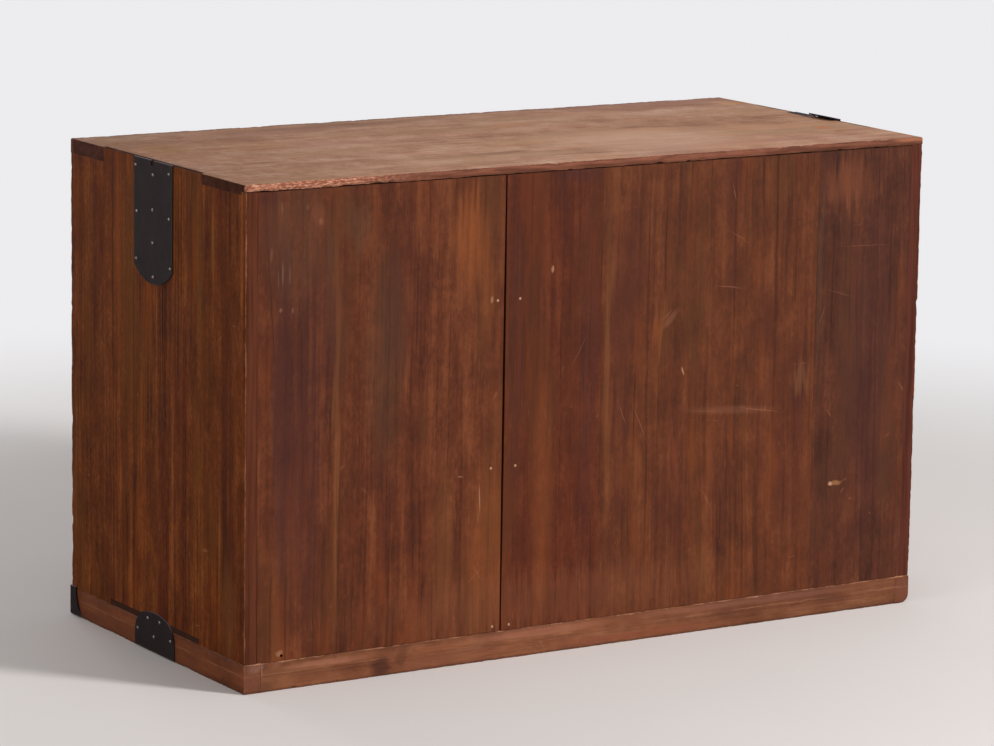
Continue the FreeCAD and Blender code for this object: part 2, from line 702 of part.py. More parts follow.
def all_drawers():
    """Two half-width drawers over two full-width ones."""
    half = DIVIDER_THICK / 2
    upper_middle = (X_IN + half) / 2
    quarter = X_IN / 2
    upper = (UPPER_SHELF, CEILING)
    middle = (LOWER_SHELF, LOWER_SHELF + MIDDLE_TIER)
    lowest = (FLOOR_TOP, FLOOR_TOP + BOTTOM_TIER)
    return {
        **drawer("upper_left_drawer", (-X_IN, -half), upper, [-upper_middle]),
        **drawer("upper_right_drawer", (half, X_IN), upper, [upper_middle]),
        **drawer("middle_drawer", across(X_IN), middle, [-quarter, quarter]),
        **drawer("bottom_drawer", across(X_IN), lowest, [-quarter, quarter]),
    }


# ---------------------------------------------------------------- assembly
def carcass():
    """Everything that stays put: each board loses what is let into it."""
    worn = worn_edges()
    nails = right_side_nails()
    all_nails = nails + [mirrored(one) for one in nails]
    pegs = back_pegs()
    divider = centre_divider()
    top, bottom = top_board(), bottom_board()
    shelves = [shelf(LOWER_SHELF), shelf(UPPER_SHELF)]
    rails = [front_rail(LOWER_SHELF), front_rail(UPPER_SHELF)]
    backs = back_boards()
    side_rail, back_rail, base_front = base_rails()

    side = block((X_IN, X_OUT), (Y_FRONT, Y_BACK), (BASE_HEIGHT, HEIGHT))
    side = less(side, top, bottom, back_recess(), *shelves, *rails, *nails, *worn)
    left_side = block((-X_OUT, -X_IN), (Y_FRONT, Y_BACK), (BASE_HEIGHT, HEIGHT))
    left_side = less(left_side, top, bottom, back_recess(), *shelves, *rails, *all_nails, *worn)

    strap = side_strap()
    let_in = mirrored(flat_tab())
    left_strap = mirrored(strap.fuse([flat_tab(), bent_tab()]).removeSplitter())
    side_rail = less(side_rail, *nails)
    return {
        "top_board": less(top, divider, let_in, *all_nails, *worn),
        "bottom_board": less(bottom, *all_nails, *pegs),
        "side_board_right": side,
        "side_board_left": less(left_side, let_in),
        "lower_shelf": less(shelves[0], *pegs),
        "upper_shelf": less(shelves[1], divider, *pegs),
        "lower_front_rail": less(rails[0], shelves[0]),
        "upper_front_rail": less(rails[1], shelves[1], divider),
        "centre_divider": divider,
        "back_board_right": less(backs[0], *pegs),
        "back_board_next": less(backs[1], *pegs),
        "back_board_wide": backs[2],
        "back_board_left": backs[3],
        "back_pegs": Part.makeCompound(pegs),
        "base_rail_right": side_rail,
        "base_rail_left": less(mirrored(side_rail), worn_foot()),
        "base_rail_back": back_rail,
        "base_rail_front": less(base_front, *all_nails),
        "drawer_stops": Part.makeCompound(drawer_stops()),
        "side_strap_right": less(strap, *nails),
        "side_strap_left": less(left_strap, *all_nails),
        "base_plate_right": less(base_plate(), *nails),
        "base_plate_left": mirrored(less(base_plate(), *nails)),
        "corner_iron_right": less(corner_iron(), *nails),
        "corner_iron_left": mirrored(less(corner_iron(), *nails)),
        "iron_nails": Part.makeCompound(all_nails),
    }


def main():
    """Write every piece of the chest."""
    os.makedirs("parts", exist_ok=True)
    pieces = {**carcass(), **all_drawers()}
    for name, shape in pieces.items():
        shape.exportStep(os.path.join("parts", name + ".step"))
        state = "ok" if shape.isValid() else "NOT VALID"
        print(f"{name:34s} {len(shape.Solids):3d} solids {shape.Volume / 1000:10.2f} cm3  {state}")
    print(len(pieces), "nodes")


main()
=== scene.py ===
"""Looks of the small tansu chest: materials, worn edges, light, floor and camera.

Everything is in metres in the frame of the CAD model: +Z is up, the drawers open
towards -Y, and the camera looks at the back (+Y) and the +X side.
"""

import math

import bmesh
import bpy
from mathutils import Euler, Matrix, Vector, noise


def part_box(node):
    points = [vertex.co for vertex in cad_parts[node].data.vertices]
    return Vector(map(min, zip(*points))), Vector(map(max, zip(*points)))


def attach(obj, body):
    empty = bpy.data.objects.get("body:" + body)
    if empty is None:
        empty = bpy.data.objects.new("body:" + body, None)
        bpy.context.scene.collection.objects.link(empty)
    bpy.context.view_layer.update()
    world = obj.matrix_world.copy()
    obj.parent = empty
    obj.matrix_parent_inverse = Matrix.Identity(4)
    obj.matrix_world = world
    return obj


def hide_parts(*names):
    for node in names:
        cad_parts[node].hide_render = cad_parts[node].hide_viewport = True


MM = 0.001

# ---------------------------------------------------------------- camera and light
IMAGE_WIDTH = 994
FOCAL_PIXELS = 4315.1
SENSOR = 36.0
CAMERA_PLACE = (2.2036, 3.5398, 1.0241)
CAMERA_TURN = (79.296, -0.858, 148.237)      # degrees about X, Y, Z

LIGHT_AIM = Vector((0, 0, 0.22))
# name: (direction in degrees from +X, height in degrees, distance, size, level)
# A level of 1 lights a surface that faces the lamp as brightly as it is painted.
LAMPS = {
    "window": (122, 26, 3.4, 0.6, 0.95),
    "overhead": (60, 82, 3.0, 2.2, 0.09),
    "side_fill": (8, 13, 3.6, 2.0, 0.26),
    "front_fill": (-88, 11, 3.8, 2.0, 0.36),
}
WORLD_LEVEL = 0.22           # how strongly the room lights the chest
WORLD_SHOWN = 0.88           # how bright it looks, also in gloss
WORLD_TONE = (1.0, 0.99, 0.985, 1.0)
FLOOR_TONE = (228, 222, 219)
BACKDROP_TONE = (237, 236, 238)
FLOOR_RADIUS = 16.0
FLOOR_FADE_START = 0.75      # from here to the end, in metres from the chest's middle,
FLOOR_FADE_END = 1.7         # the floor turns into the plain backdrop
FAR_CLIP = 60                # metres


def linear(red, green, blue):
    """A colour in the usual 0 to 255 steps, as the linear values a shader takes."""
    def channel(value):
        share = value / 255
        if share <= 0.04045:
            return share / 12.92
        return ((share + 0.055) / 1.055) ** 2.4
    return (channel(red), channel(green), channel(blue), 1.0)


# ---------------------------------------------------------------- shader nodes
MIX_FIRST, MIX_SECOND, MIX_RESULT = 6, 7, 2      # the colour sockets of a Mix node


def is_socket(value):
    return isinstance(value, bpy.types.NodeSocket)


class Paint:
    """One material's nodes. Its methods take numbers or sockets and give back a socket."""

    def __init__(self, name, roughness, specular, metallic=0.0):
        self.material = bpy.data.materials.new(name)
        self.material.use_nodes = True
        self.tree = self.material.node_tree
        self.tree.nodes.clear()
        output = self.tree.nodes.new("ShaderNodeOutputMaterial")
        self.surface = self.tree.nodes.new("ShaderNodeBsdfPrincipled")
        self.tree.links.new(self.surface.outputs[0], output.inputs["Surface"])
        self.surface.inputs["Roughness"].default_value = roughness
        self.surface.inputs["Specular IOR Level"].default_value = specular
        self.surface.inputs["Metallic"].default_value = metallic
        coordinates = self.tree.nodes.new("ShaderNodeTexCoord")
        self.place = coordinates.outputs["Object"]
        self.facing = coordinates.outputs["Normal"]

    def feed(self, socket, value):
        if is_socket(value):
            self.tree.links.new(value, socket)
        else:
            socket.default_value = value

    def math(self, kind, *values, clamp=False):
        node = self.tree.nodes.new("ShaderNodeMath")
        node.operation = kind
        node.use_clamp = clamp
        for socket, value in zip(node.inputs, values):
            self.feed(socket, value)
        return node.outputs[0]

    def vector(self, kind, *values):
        node = self.tree.nodes.new("ShaderNodeVectorMath")
        node.operation = kind
        for socket, value in zip(node.inputs, values):
            self.feed(socket, value)
        return node.outputs["Vector"]

    def split(self, vector):
        node = self.tree.nodes.new("ShaderNodeSeparateXYZ")
        self.feed(node.inputs[0], vector)
        return node.outputs[0], node.outputs[1], node.outputs[2]

    def join(self, *values):
        node = self.tree.nodes.new("ShaderNodeCombineXYZ")
        for socket, value in zip(node.inputs, values):
            self.feed(socket, value)
        return node.outputs[0]

    def mix(self, share, first, second):
        """The colour first where share is 0 and second where it is 1."""
        node = self.tree.nodes.new("ShaderNodeMix")
        node.data_type = "RGBA"
        self.feed(node.inputs["Factor"], share)
        self.feed(node.inputs[MIX_FIRST], first)
        self.feed(node.inputs[MIX_SECOND], second)
        return node.outputs[MIX_RESULT]

    def noise(self, vector, scale=1.0, detail=3.0, rough=0.55):
        node = self.tree.nodes.new("ShaderNodeTexNoise")
        self.feed(node.inputs["Vector"], vector)
        node.inputs["Scale"].default_value = scale
        node.inputs["Detail"].default_value = detail
        node.inputs["Roughness"].default_value = rough
        return node.outputs[0]

    def step(self, value, low, high):
        """0 below low, 1 above high, and smooth between them. low may be the larger."""
        node = self.tree.nodes.new("ShaderNodeMapRange")
        node.interpolation_type = "SMOOTHSTEP"
        start, end, first, last = (low, high, 0.0, 1.0)
        if low > high:
            start, end, first, last = (high, low, 1.0, 0.0)
        for name, number in zip(("Value", "From Min", "From Max", "To Min", "To Max"),
                                (value, start, end, first, last)):
            self.feed(node.inputs[name], number)
        return node.outputs["Result"]

    def ramp(self, value, stops):
        """A colour for value, from (position, colour) stops."""
        node = self.tree.nodes.new("ShaderNodeValToRGB")
        elements = node.color_ramp.elements
        elements[0].position, elements[0].color = stops[0]
        elements[1].position, elements[1].color = stops[-1]
        for position, colour in stops[1:-1]:
            elements.new(position).color = colour
        self.feed(node.inputs[0], value)
        return node.outputs["Color"]

    def shade(self, colour, low, high, value):
        """The colour made darker or lighter: times low where value is 0, high where it is 1."""
        node = self.tree.nodes.new("ShaderNodeVectorMath")
        node.operation = "SCALE"
        self.feed(node.inputs[0], colour if is_socket(colour) else colour[:3])
        self.feed(node.inputs["Scale"], self.math("MULTIPLY_ADD", value, high - low, low))
        return node.outputs["Vector"]

    def bump(self, height, distance):
        node = self.tree.nodes.new("ShaderNodeBump")
        node.inputs["Distance"].default_value = distance
        self.feed(node.inputs["Height"], height)
        self.tree.links.new(node.outputs[0], self.surface.inputs["Normal"])

    def colour(self, value):
        self.feed(self.surface.inputs["Base Color"], value)

    def roughness(self, value):
        self.feed(self.surface.inputs["Roughness"], value)


def edge_distance(paint, box):
    """How far a point on the surface of a box lies from the box's nearest edge."""
    low, high = box
    from_low = paint.vector("SUBTRACT", paint.place, tuple(low))
    from_high = paint.vector("SUBTRACT", tuple(high), paint.place)
    x, y, z = paint.split(paint.vector("MINIMUM", from_low, from_high))
    smaller = paint.math("MINIMUM", x, y)
    larger = paint.math("MAXIMUM", x, y)
    return paint.math("MAXIMUM", smaller, paint.math("MINIMUM", larger, z))


# ---------------------------------------------------------------- wood
class Wood:
    """One kind of surface: its tones, its figure and its finish.

    Colours are in steps of 0 to 255. streaks lists (repeats in a metre across the grain,
    along the grain, strength), from the widest to the finest. mottle and cloud are how
    strong its blotches are, long and round ones, grit is the strength of its finest grain,
    and lines, scratches, scuffs and ring are how much such marks show.
    """

    def __init__(self, dark, middle, light, purple, olive, orange, end, worn, roughness,
                 specular, streaks, mottle=0.3, cloud=0.2, grit=0.2, lines=0.3, scratches=0.4,
                 scuffs=0.0, ring=0.0, ring_width=0.006):
        self.dark, self.middle, self.light = linear(*dark), linear(*middle), linear(*light)
        self.hues = [linear(*purple), linear(*olive), linear(*orange)]
        self.end, self.worn = linear(*end), linear(*worn)
        self.roughness, self.specular = roughness, specular
        self.streaks, self.mottle, self.cloud, self.grit = streaks, mottle, cloud, grit
        self.lines, self.scratches, self.scuffs = lines, scratches, scuffs
        self.ring, self.ring_width = ring, ring_width


BACK = Wood(
    dark=(72, 37, 25), middle=(96, 50, 31), light=(122, 70, 44),
    purple=(78, 38, 31), olive=(92, 55, 32), orange=(120, 61, 31),
    end=(92, 56, 40), worn=(140, 88, 60), roughness=0.55, specular=0.08,
    streaks=[(9, 0.9, 0.3), (34, 1.7, 0.34), (100, 2.8, 0.46), (290, 6, 0.32)],
    mottle=0.6, cloud=0.6, grit=0.46, lines=0.24, scratches=0.26, scuffs=0.2,
)
SIDE = Wood(
    dark=(68, 32, 16), middle=(104, 53, 27), light=(144, 82, 44),
    purple=(82, 33, 23), olive=(102, 60, 26), orange=(134, 66, 26),
    end=(58, 37, 29), worn=(142, 94, 68), roughness=0.55, specular=0.02,
    streaks=[(10, 0.8, 0.35), (38, 1.6, 0.4), (95, 2.6, 0.45), (240, 4, 0.5)],
    mottle=0.5, cloud=0.5, grit=0.5, lines=0.3, scratches=0.4, scuffs=0.3,
)
# The top's pale tan is partly its dry, faded wood and partly a painted sheen: the light the top
# reflects at a grazing view is put in its colour, and its own gloss is kept low.
TOP = Wood(
    dark=(146, 96, 68), middle=(188, 137, 103), light=(216, 172, 138),
    purple=(176, 124, 102), olive=(180, 136, 98), orange=(204, 142, 100),
    end=(62, 34, 29), worn=(200, 156, 128), roughness=0.64, specular=0.025,
    streaks=[(12, 1.2, 0.6), (40, 4, 0.4), (150, 12, 0.3), (420, 34, 0.2)],
    mottle=0.4, cloud=0.95, grit=0.5, lines=0.18, scratches=0.3,
)
BASE = Wood(
    dark=(84, 44, 27), middle=(118, 68, 46), light=(146, 92, 64),
    purple=(102, 58, 44), olive=(108, 68, 44), orange=(134, 76, 48),
    end=(112, 67, 49), worn=(168, 118, 90), roughness=0.55, specular=0.08,
    streaks=[(24, 2, 0.4), (80, 6, 0.3), (200, 16, 0.2), (520, 50, 0.15)],
    mottle=0.8, cloud=0.6, grit=0.12, lines=0.12, scratches=0.3,
)
FRONT = Wood(
    dark=(58, 26, 14), middle=(100, 50, 27), light=(140, 80, 44),
    purple=(80, 38, 26), olive=(104, 62, 32), orange=(130, 68, 32),
    end=(60, 38, 28), worn=(150, 100, 68), roughness=0.5, specular=0.1,
    streaks=[(12, 0.8, 0.4), (44, 1.6, 0.4), (120, 3, 0.4), (330, 7, 0.33)],
    mottle=0.5, cloud=0.4, grit=0.4, ring=0.28, ring_width=0.015,
)
INNER = Wood(
    dark=(142, 108, 74), middle=(174, 140, 102), light=(196, 166, 128),
    purple=(164, 128, 98), olive=(170, 140, 96), orange=(182, 142, 96),
    end=(148, 118, 88), worn=(196, 172, 138), roughness=0.65, specular=0.1,
    streaks=[(12, 0.8, 0.35), (44, 1.5, 0.35), (120, 3, 0.35), (330, 8, 0.35)],
    mottle=0.2, ring=0.14,
)


class Board:
    """What one board is made of: its kind of wood, the axis its grain runs along, the
    finish that lays its own marks, a tint, how strong its figure is, and its buried sides,
    whose edges don't wear.
    """

    def __init__(self, kind, along, finish=None, tint=(1, 1, 1), figure=1.0, buried=()):
        self.kind, self.along, self.finish = kind, along, finish
        self.tint, self.figure, self.buried = tint, figure, buried


BURIED_DEPTH = 0.02      # metres: past the reach of the wear


def grown(box, sides):
    """The box, pushed out a little way on the named sides, such as "+z"."""
    low, high = Vector(box[0]), Vector(box[1])
    for side in sides:
        axis = "xyz".index(side[1])
        if side[0] == "+":
            high[axis] += BURIED_DEPTH
        else:
            low[axis] -= BURIED_DEPTH
    return low, high


SEED_SHIFTS = (0.37, 0.61, 1.13)     # metres from one board's grain to the next one's
BEND, WAVER = 0.03, 0.004            # how far a fibre strays, slowly and quickly
RING_ASIDE, RING_BEHIND = 0.05, 0.09     # where the heart of the tree lay, from the board
RING_LEAN = 1.7                      # rings that a board passes in a metre of its length


class Grain:
    """A board's own coordinates: across the grain, through the board and along it."""

    def __init__(self, paint, along, seed):
        self.paint = paint
        self.axis = {"x": 0, "y": 1, "z": 2}[along]
        self.seed = seed
        x, y, z = paint.split(paint.place)
        order = {"x": (y, z, x), "y": (x, z, y), "z": (x, y, z)}[along]
        self.shifts = [shift * seed for shift in SEED_SHIFTS]
        self.place = [paint.math("ADD", value, shift) for value, shift in zip(order, self.shifts)]
        bend = self.noise(5, 1.1, detail=2.0)
        self.place[0] = paint.math("MULTIPLY_ADD", bend, BEND, self.place[0])
        waver = self.noise(34, 13, detail=3.0)
        self.place[0] = paint.math("MULTIPLY_ADD", waver, WAVER, self.place[0])

    def stretch(self, across, along):
        """The place, scaled to so many repeats in a metre across and along the grain."""
        scales = (across, across, along)
        scaled = [self.paint.math("MULTIPLY", v, scale) for v, scale in zip(self.place, scales)]
        return self.paint.join(*scaled)

    def noise(self, across, along, detail=1.0, rough=0.5):
        return self.paint.noise(self.stretch(across, along), detail=detail, rough=rough)

    def ends(self):
        """1 on the faces that cut across the grain, 0 along it."""
        facing = self.paint.split(self.paint.facing)[self.axis]
        return self.paint.step(self.paint.math("ABSOLUTE", facing), 0.6, 0.8)

    def rings(self, width):
        """Late wood lines, 0 to 1, of a board sawn beside the heart of its tree."""
        paint = self.paint
        aside = RING_ASIDE * math.sin(2.1 * self.seed)
        across = paint.math("ADD", self.place[0], aside - self.shifts[0])
        through = paint.math("ADD", self.place[1], RING_BEHIND - self.shifts[1])
        square = paint.math("MULTIPLY_ADD", across, across, paint.math("POWER", through, 2.0))
        sway = paint.math("MULTIPLY", self.noise(14, 2.4, detail=2.0), 2.2)
        turns = paint.math("MULTIPLY_ADD", paint.math("SQRT", square), 1 / width, sway)
        phase = paint.math("FRACT", paint.math("MULTIPLY_ADD", self.place[2], RING_LEAN, turns))
        return paint.math("MULTIPLY", paint.step(phase, 0.35, 0.9), paint.step(phase, 1.0, 0.94))


def hairlines(paint, seed):
    """Short fine scratches: where a noise crosses its middle, and only in places."""
    place = paint.vector("ADD", paint.place, (seed * 1.7, seed * 0.9, seed * 2.3))
    wander = paint.noise(place, scale=9, detail=0.0)
    near = paint.math("ABSOLUTE", paint.math("SUBTRACT", wander, 0.5))
    line = paint.step(near, 0.0034, 0.0012)
    here = paint.step(paint.noise(place, scale=60, detail=2.0), 0.58, 0.68)
    return paint.math("MULTIPLY", line, here)


def specks(paint, scale, size, share):
    """Small round chips, scattered: one in so many cells of a mesh."""
    node = paint.tree.nodes.new("ShaderNodeTexVoronoi")
    node.inputs["Scale"].default_value = scale
    paint.feed(node.inputs["Vector"], paint.place)
    spot = paint.step(node.outputs["Distance"], size * scale, size * scale * 0.4)
    lot = paint.split(node.outputs["Color"])[0]
    return paint.math("MULTIPLY", spot, paint.step(lot, share, share * 0.9))


FINE_STREAK = 60         # streaks with more repeats than this in a metre come and go
CHIPS = ((55, 0.0011), (120, 0.0006))        # cells in a metre and radius of the pale chips
KNOTS = (31, 0.0014)
PORES = ((260, 7.0, (0.66, 0.78)), (190, 2.0, (0.7, 0.78)))  # short and long pore lines
EDGE_WANDER = -0.0042    # how far worn edges reach in, at most, in metres
EDGE_REACH = (-0.0012, -0.0020)      # where the wear starts and where it is full
EDGE_SHARE = 0.5         # how much of the bare wood shows there
BUMP_HEIGHT = 0.0003


def lightness(paint, grain, board, lively, blotches):
    """How light the wood is, around 0.5, and the finest of its streaks."""
    value = 0.5
    for across, length, swing in board.kind.streaks:
        streak = paint.math("SUBTRACT", grain.noise(across, length, detail=2.0), 0.5)
        if across > FINE_STREAK:
            streak = paint.math("MULTIPLY", streak, lively)
        value = paint.math("MULTIPLY_ADD", streak, swing, value)
    for blotch, swing in blotches:
        value = paint.math("ADD", value, paint.math("MULTIPLY_ADD", blotch, swing, -swing / 2))
    figure = paint.math("SUBTRACT", value, 0.5)
    return paint.math("MULTIPLY_ADD", figure, board.figure, 0.5), streak


def coloured(paint, grain, kind, value):
    """The wood's tone, drifting to purple, to olive and to orange."""
    tone = paint.ramp(value, [(0.15, kind.dark), (0.5, kind.middle), (0.85, kind.light)])
    purple, olive, orange = kind.hues
    hue = grain.noise(17, 3.2, detail=3.0, rough=0.6)
    warmth = grain.noise(33, 6, detail=3.0, rough=0.6)
    tone = paint.mix(paint.math("MULTIPLY", paint.step(hue, 0.47, 0.33), 0.55), tone, purple)
    tone = paint.mix(paint.math("MULTIPLY", paint.step(hue, 0.52, 0.66), 0.6), tone, olive)
    return paint.mix(paint.math("MULTIPLY", paint.step(warmth, 0.54, 0.7), 0.45), tone, orange)


def lined(paint, grain, kind, tone, fine, lively):
    """The tone with its pore lines and rings, and the height that both give the surface."""
    short, long = (
        paint.step(grain.noise(across, along, detail=0.0), *limits)
        for across, along, limits in PORES
    )
    lines = paint.math("MAXIMUM", paint.math("MULTIPLY", short, lively), long, clamp=True)
    tone = paint.shade(tone, 1.0, 1.0 - kind.lines, lines)
    height = paint.math("MULTIPLY_ADD", lines, -0.5, fine)
    if kind.ring:
        ring = grain.rings(kind.ring_width)
        tone = paint.shade(tone, 1.0, 1.0 - kind.ring, ring)
        height = paint.math("MULTIPLY_ADD", ring, -0.25, height)
    return tone, height


def marred(paint, grain, kind, tone, seed):
    """The tone with its scratches, chips, small knots and scuffs."""
    scratch = paint.math("MULTIPLY", hairlines(paint, seed), kind.scratches)
    tone = paint.mix(scratch, tone, kind.worn)
    for scale, size in CHIPS:
        chip = paint.math("MULTIPLY", specks(paint, scale, size, 0.1), 0.5)
        tone = paint.mix(chip, tone, kind.worn)
    knot = paint.math("MULTIPLY", specks(paint, *KNOTS, 0.06), 0.6)
    tone = paint.mix(knot, tone, kind.dark)
    if kind.scuffs:
        rough_spots = paint.step(paint.noise(paint.place, scale=13, detail=4.0), 0.48, 0.64)
        scuff = paint.step(grain.noise(520, 75, detail=2.0, rough=0.6), 0.56, 0.74)
        share = paint.math("MULTIPLY", paint.math("MULTIPLY", scuff, rough_spots), kind.scuffs)
        tone = paint.mix(share, tone, kind.worn)
    return tone


def wood(name, board, box, seed):
    """A board's material: streaks, lines, end grain, worn edges and then its own marks."""
    kind = board.kind
    paint = Paint(name, kind.roughness, kind.specular)
    grain = Grain(paint, board.along, seed)
    cloud = paint.noise(paint.place, scale=28, detail=5.0, rough=0.62)
    grit = grain.noise(300, 170, detail=3.0, rough=0.65)
    mottle = grain.noise(62, 17, detail=4.0, rough=0.62)
    patches = grain.noise(21, 7, detail=3.0)
    lively = paint.math("MULTIPLY_ADD", paint.step(patches, 0.4, 0.6), 1.0, 0.5)
    blotches = ((mottle, kind.mottle), (cloud, kind.cloud), (grit, kind.grit))
    value, fine = lightness(paint, grain, board, lively, blotches)
    tone = coloured(paint, grain, kind, value)
    tone, height = lined(paint, grain, kind, tone, fine, lively)
    tone = paint.vector("MULTIPLY", tone, board.tint)
    ends = grain.ends()
    tone = paint.mix(ends, tone, paint.shade(kind.end, 0.7, 1.3, cloud))
    tone = marred(paint, grain, kind, tone, seed)

    ragged = paint.noise(paint.place, scale=110, detail=4.0, rough=0.7)
    edge = edge_distance(paint, grown(box, board.buried))
    reach = paint.math("MULTIPLY_ADD", ragged, EDGE_WANDER, edge)
    worn = paint.math("MULTIPLY", paint.step(reach, *EDGE_REACH), EDGE_SHARE)
    tone = paint.mix(worn, tone, kind.worn)
    if board.finish:
        tone = board.finish(paint, grain, tone)
    paint.colour(tone)
    rough = paint.math("MULTIPLY_ADD", cloud, 0.2, kind.roughness - 0.1)
    rough = paint.math("MULTIPLY_ADD", worn, 0.15, rough)
    paint.roughness(paint.math("MULTIPLY_ADD", ends, 0.4, rough, clamp=True))
    height = paint.math("MULTIPLY_ADD", grit, 0.6, height)
    paint.bump(paint.math("MULTIPLY_ADD", ragged, 0.4, height), BUMP_HEIGHT)
    return paint.material


# ---------------------------------------------------------------- marks of use
ORANGE = (138, 76, 36)
OCHRE = (116, 70, 38)
OLIVE = (82, 56, 38)
PURPLE = (66, 34, 30)
DARK = (40, 22, 15)
PALE = (186, 138, 104)
TAN = (142, 94, 70)
HAZE = (138, 106, 84)

EDGE_STAIN_RIGHT, EDGE_STAIN_LEFT = (83, 44, 29), (74, 38, 29)
ARRIS_TONE = (164, 106, 76)
TOP_DIRT = (128, 82, 56)
FINGER_FRONT, FINGER_BACK = (68, 43, 36), (64, 38, 27)
TOP_FRONT, TOP_HANDLED = (96, 54, 34), (104, 68, 60)
LIP_SMOOTH, LIP_CORNER = (104, 63, 48), (132, 84, 60)
LIP_CHIPS = ((0.32, (92, 52, 40)), (0.48, (136, 82, 62)), (0.7, (212, 158, 130)))
CREST_TONE, HIGHLIGHT_LINE_TONE = (184, 128, 96), (176, 124, 96)
FOOT_SHADOW_TONE = (48, 32, 24)

# Each mark: its place in the plane of the face, its half sizes along the face's first
# and second axis (all in millimetres), its lean in degrees, its colour and its strength.
BACK_PATCHES = [
    (140, 405, 26, 58, 0, ORANGE, 0.42),
    (122, 350, 10, 46, 0, ORANGE, 0.35),
    (120, 110, 30, 100, 0, ORANGE, 0.25),
    (168, 120, 12, 110, 0, OCHRE, 0.3),
    (284, 250, 4, 230, 0, OCHRE, 0.5),
    (292, 380, 6, 90, 0, OLIVE, 0.4),
    (262, 430, 20, 30, 0, OLIVE, 0.4),
    (232, 300, 26, 120, 0, OLIVE, 0.35),
    (318, 180, 26, 170, 0, PURPLE, 0.5),
    (340, 250, 14, 200, 0, PURPLE, 0.6),
    (300, 330, 34, 90, 0, PURPLE, 0.35),
    (60, 52, 250, 34, 0, (128, 76, 50), 0.24),
    (-290, 432, 34, 30, 0, (128, 72, 46), 0.3),
    (90, 300, 10, 150, 0, PURPLE, 0.3),
    (60, 150, 16, 150, 0, ORANGE, 0.22),
    (330, 415, 44, 70, 0, (88, 57, 40), 0.36),
    (22, 458, 32, 8, 0, PURPLE, 0.6),
    (10, 250, 12, 200, 0, PURPLE, 0.35),
    (-12, 300, 5, 170, 0, OCHRE, 0.35),
    (-72, 305, 8, 26, -12, ORANGE, 0.35),
    (-90, 180, 5, 30, 12, (112, 52, 32), 0.4),
    (-238, 241, 13, 20, 0, (112, 72, 46), 0.4),
    (-258, 330, 4, 120, 0, OLIVE, 0.5),
    (-320, 240, 40, 190, 0, PURPLE, 0.35),
]
BACK_SCRATCHES = [
    (303, 438, 8, 13, 0, (128, 76, 50), 0.2),
    (301, 432, 3, 4, 0, (144, 94, 70), 0.3),
    (-155, 217, 58, 5, -4, TAN, 0.17),
    (-130, 218, 28, 1, -4, TAN, 0.1),
    (134, 84, 0.5, 12, -50, TAN, 0.35),
    (130, 87, 0.5, 10, 30, TAN, 0.35),
    (-283.5, 131.5, 8.8, 3.0, 0, (136, 92, 58), 0.85),
    # The chip's pale end is a painted highlight where its broken rim would catch the light.
    (-277.5, 131.6, 2.8, 2.5, 0, (180, 134, 112), 0.8),
    (-282, 132, 0.5, 2.4, 0, (104, 66, 30), 0.6),
    # A painted shadow along the chip's lower edge.
    (-277, 128.6, 4, 1.0, 0, (60, 30, 18), 0.6),
    (-295, 133.9, 0.5, 3.4, -70, TAN, 0.5),
    (-292.5, 123, 0.6, 4.2, -35, TAN, 0.45),
    (-302, 114.5, 1.4, 1.4, 0, TAN, 0.4),
    (-83, 312, 4, 15, -44, TAN, 0.22),
    (-79, 316, 0.6, 9, -46, TAN, 0.4),
    (-98.5, 260, 1.1, 4.5, 18, PALE, 0.55),
    (51.5, 370, 1.8, 4, 0, PALE, 0.5),
    (342, 354, 2.2, 2.4, 0, PALE, 0.22),
    (330, 353, 1.4, 3.4, 0, PALE, 0.16),
    (340, 387, 1.3, 14, 0, HAZE, 0.26),
    (333, 385, 1.0, 10, 2, HAZE, 0.2),
    (345, 383, 0.9, 10, 0, HAZE, 0.16),
    (352, 405, 1.6, 8, -4, HAZE, 0.18),
    (341, 447, 1.2, 7, 0, HAZE, 0.18),
    (315, 446, 2.2, 3.2, 0, HAZE, 0.18),
    (128.5, 158, 0.8, 15, 3, PALE, 0.4),
    (130, 140, 0.6, 8, 0, HAZE, 0.35),
    (150, 181, 3.4, 0.8, 0, PALE, 0.35),
    (118, 346, 2.0, 4, 0, PALE, 0.35),
    (341.5, 35, 4.5, 3.5, 0, PALE, 0.35),
    (-310, 367, 0.5, 34, 88, TAN, 0.22),
    (-282, 322, 0.5, 18, 74, TAN, 0.25),
    (-262, 301, 0.5, 12, -20, TAN, 0.35),
    (-50, 214, 0.5, 22, 24, TAN, 0.45),
    (-30, 224, 0.5, 15, 20, TAN, 0.4),
    (-150, 338, 0.6, 16, 82, TAN, 0.4),
    (-154, 430, 0.6, 10, 14, TAN, 0.4),
    (-161, 386, 0.5, 16, 60, TAN, 0.3),
    (-190, 214, 0.5, 30, 80, TAN, 0.4),
    (20, 290, 0.5, 20, -30, TAN, 0.3),
    (352, 360, 0.6, 100, 4, DARK, 0.5),
    (-130, 130, 0.5, 18, 30, TAN, 0.35),
]
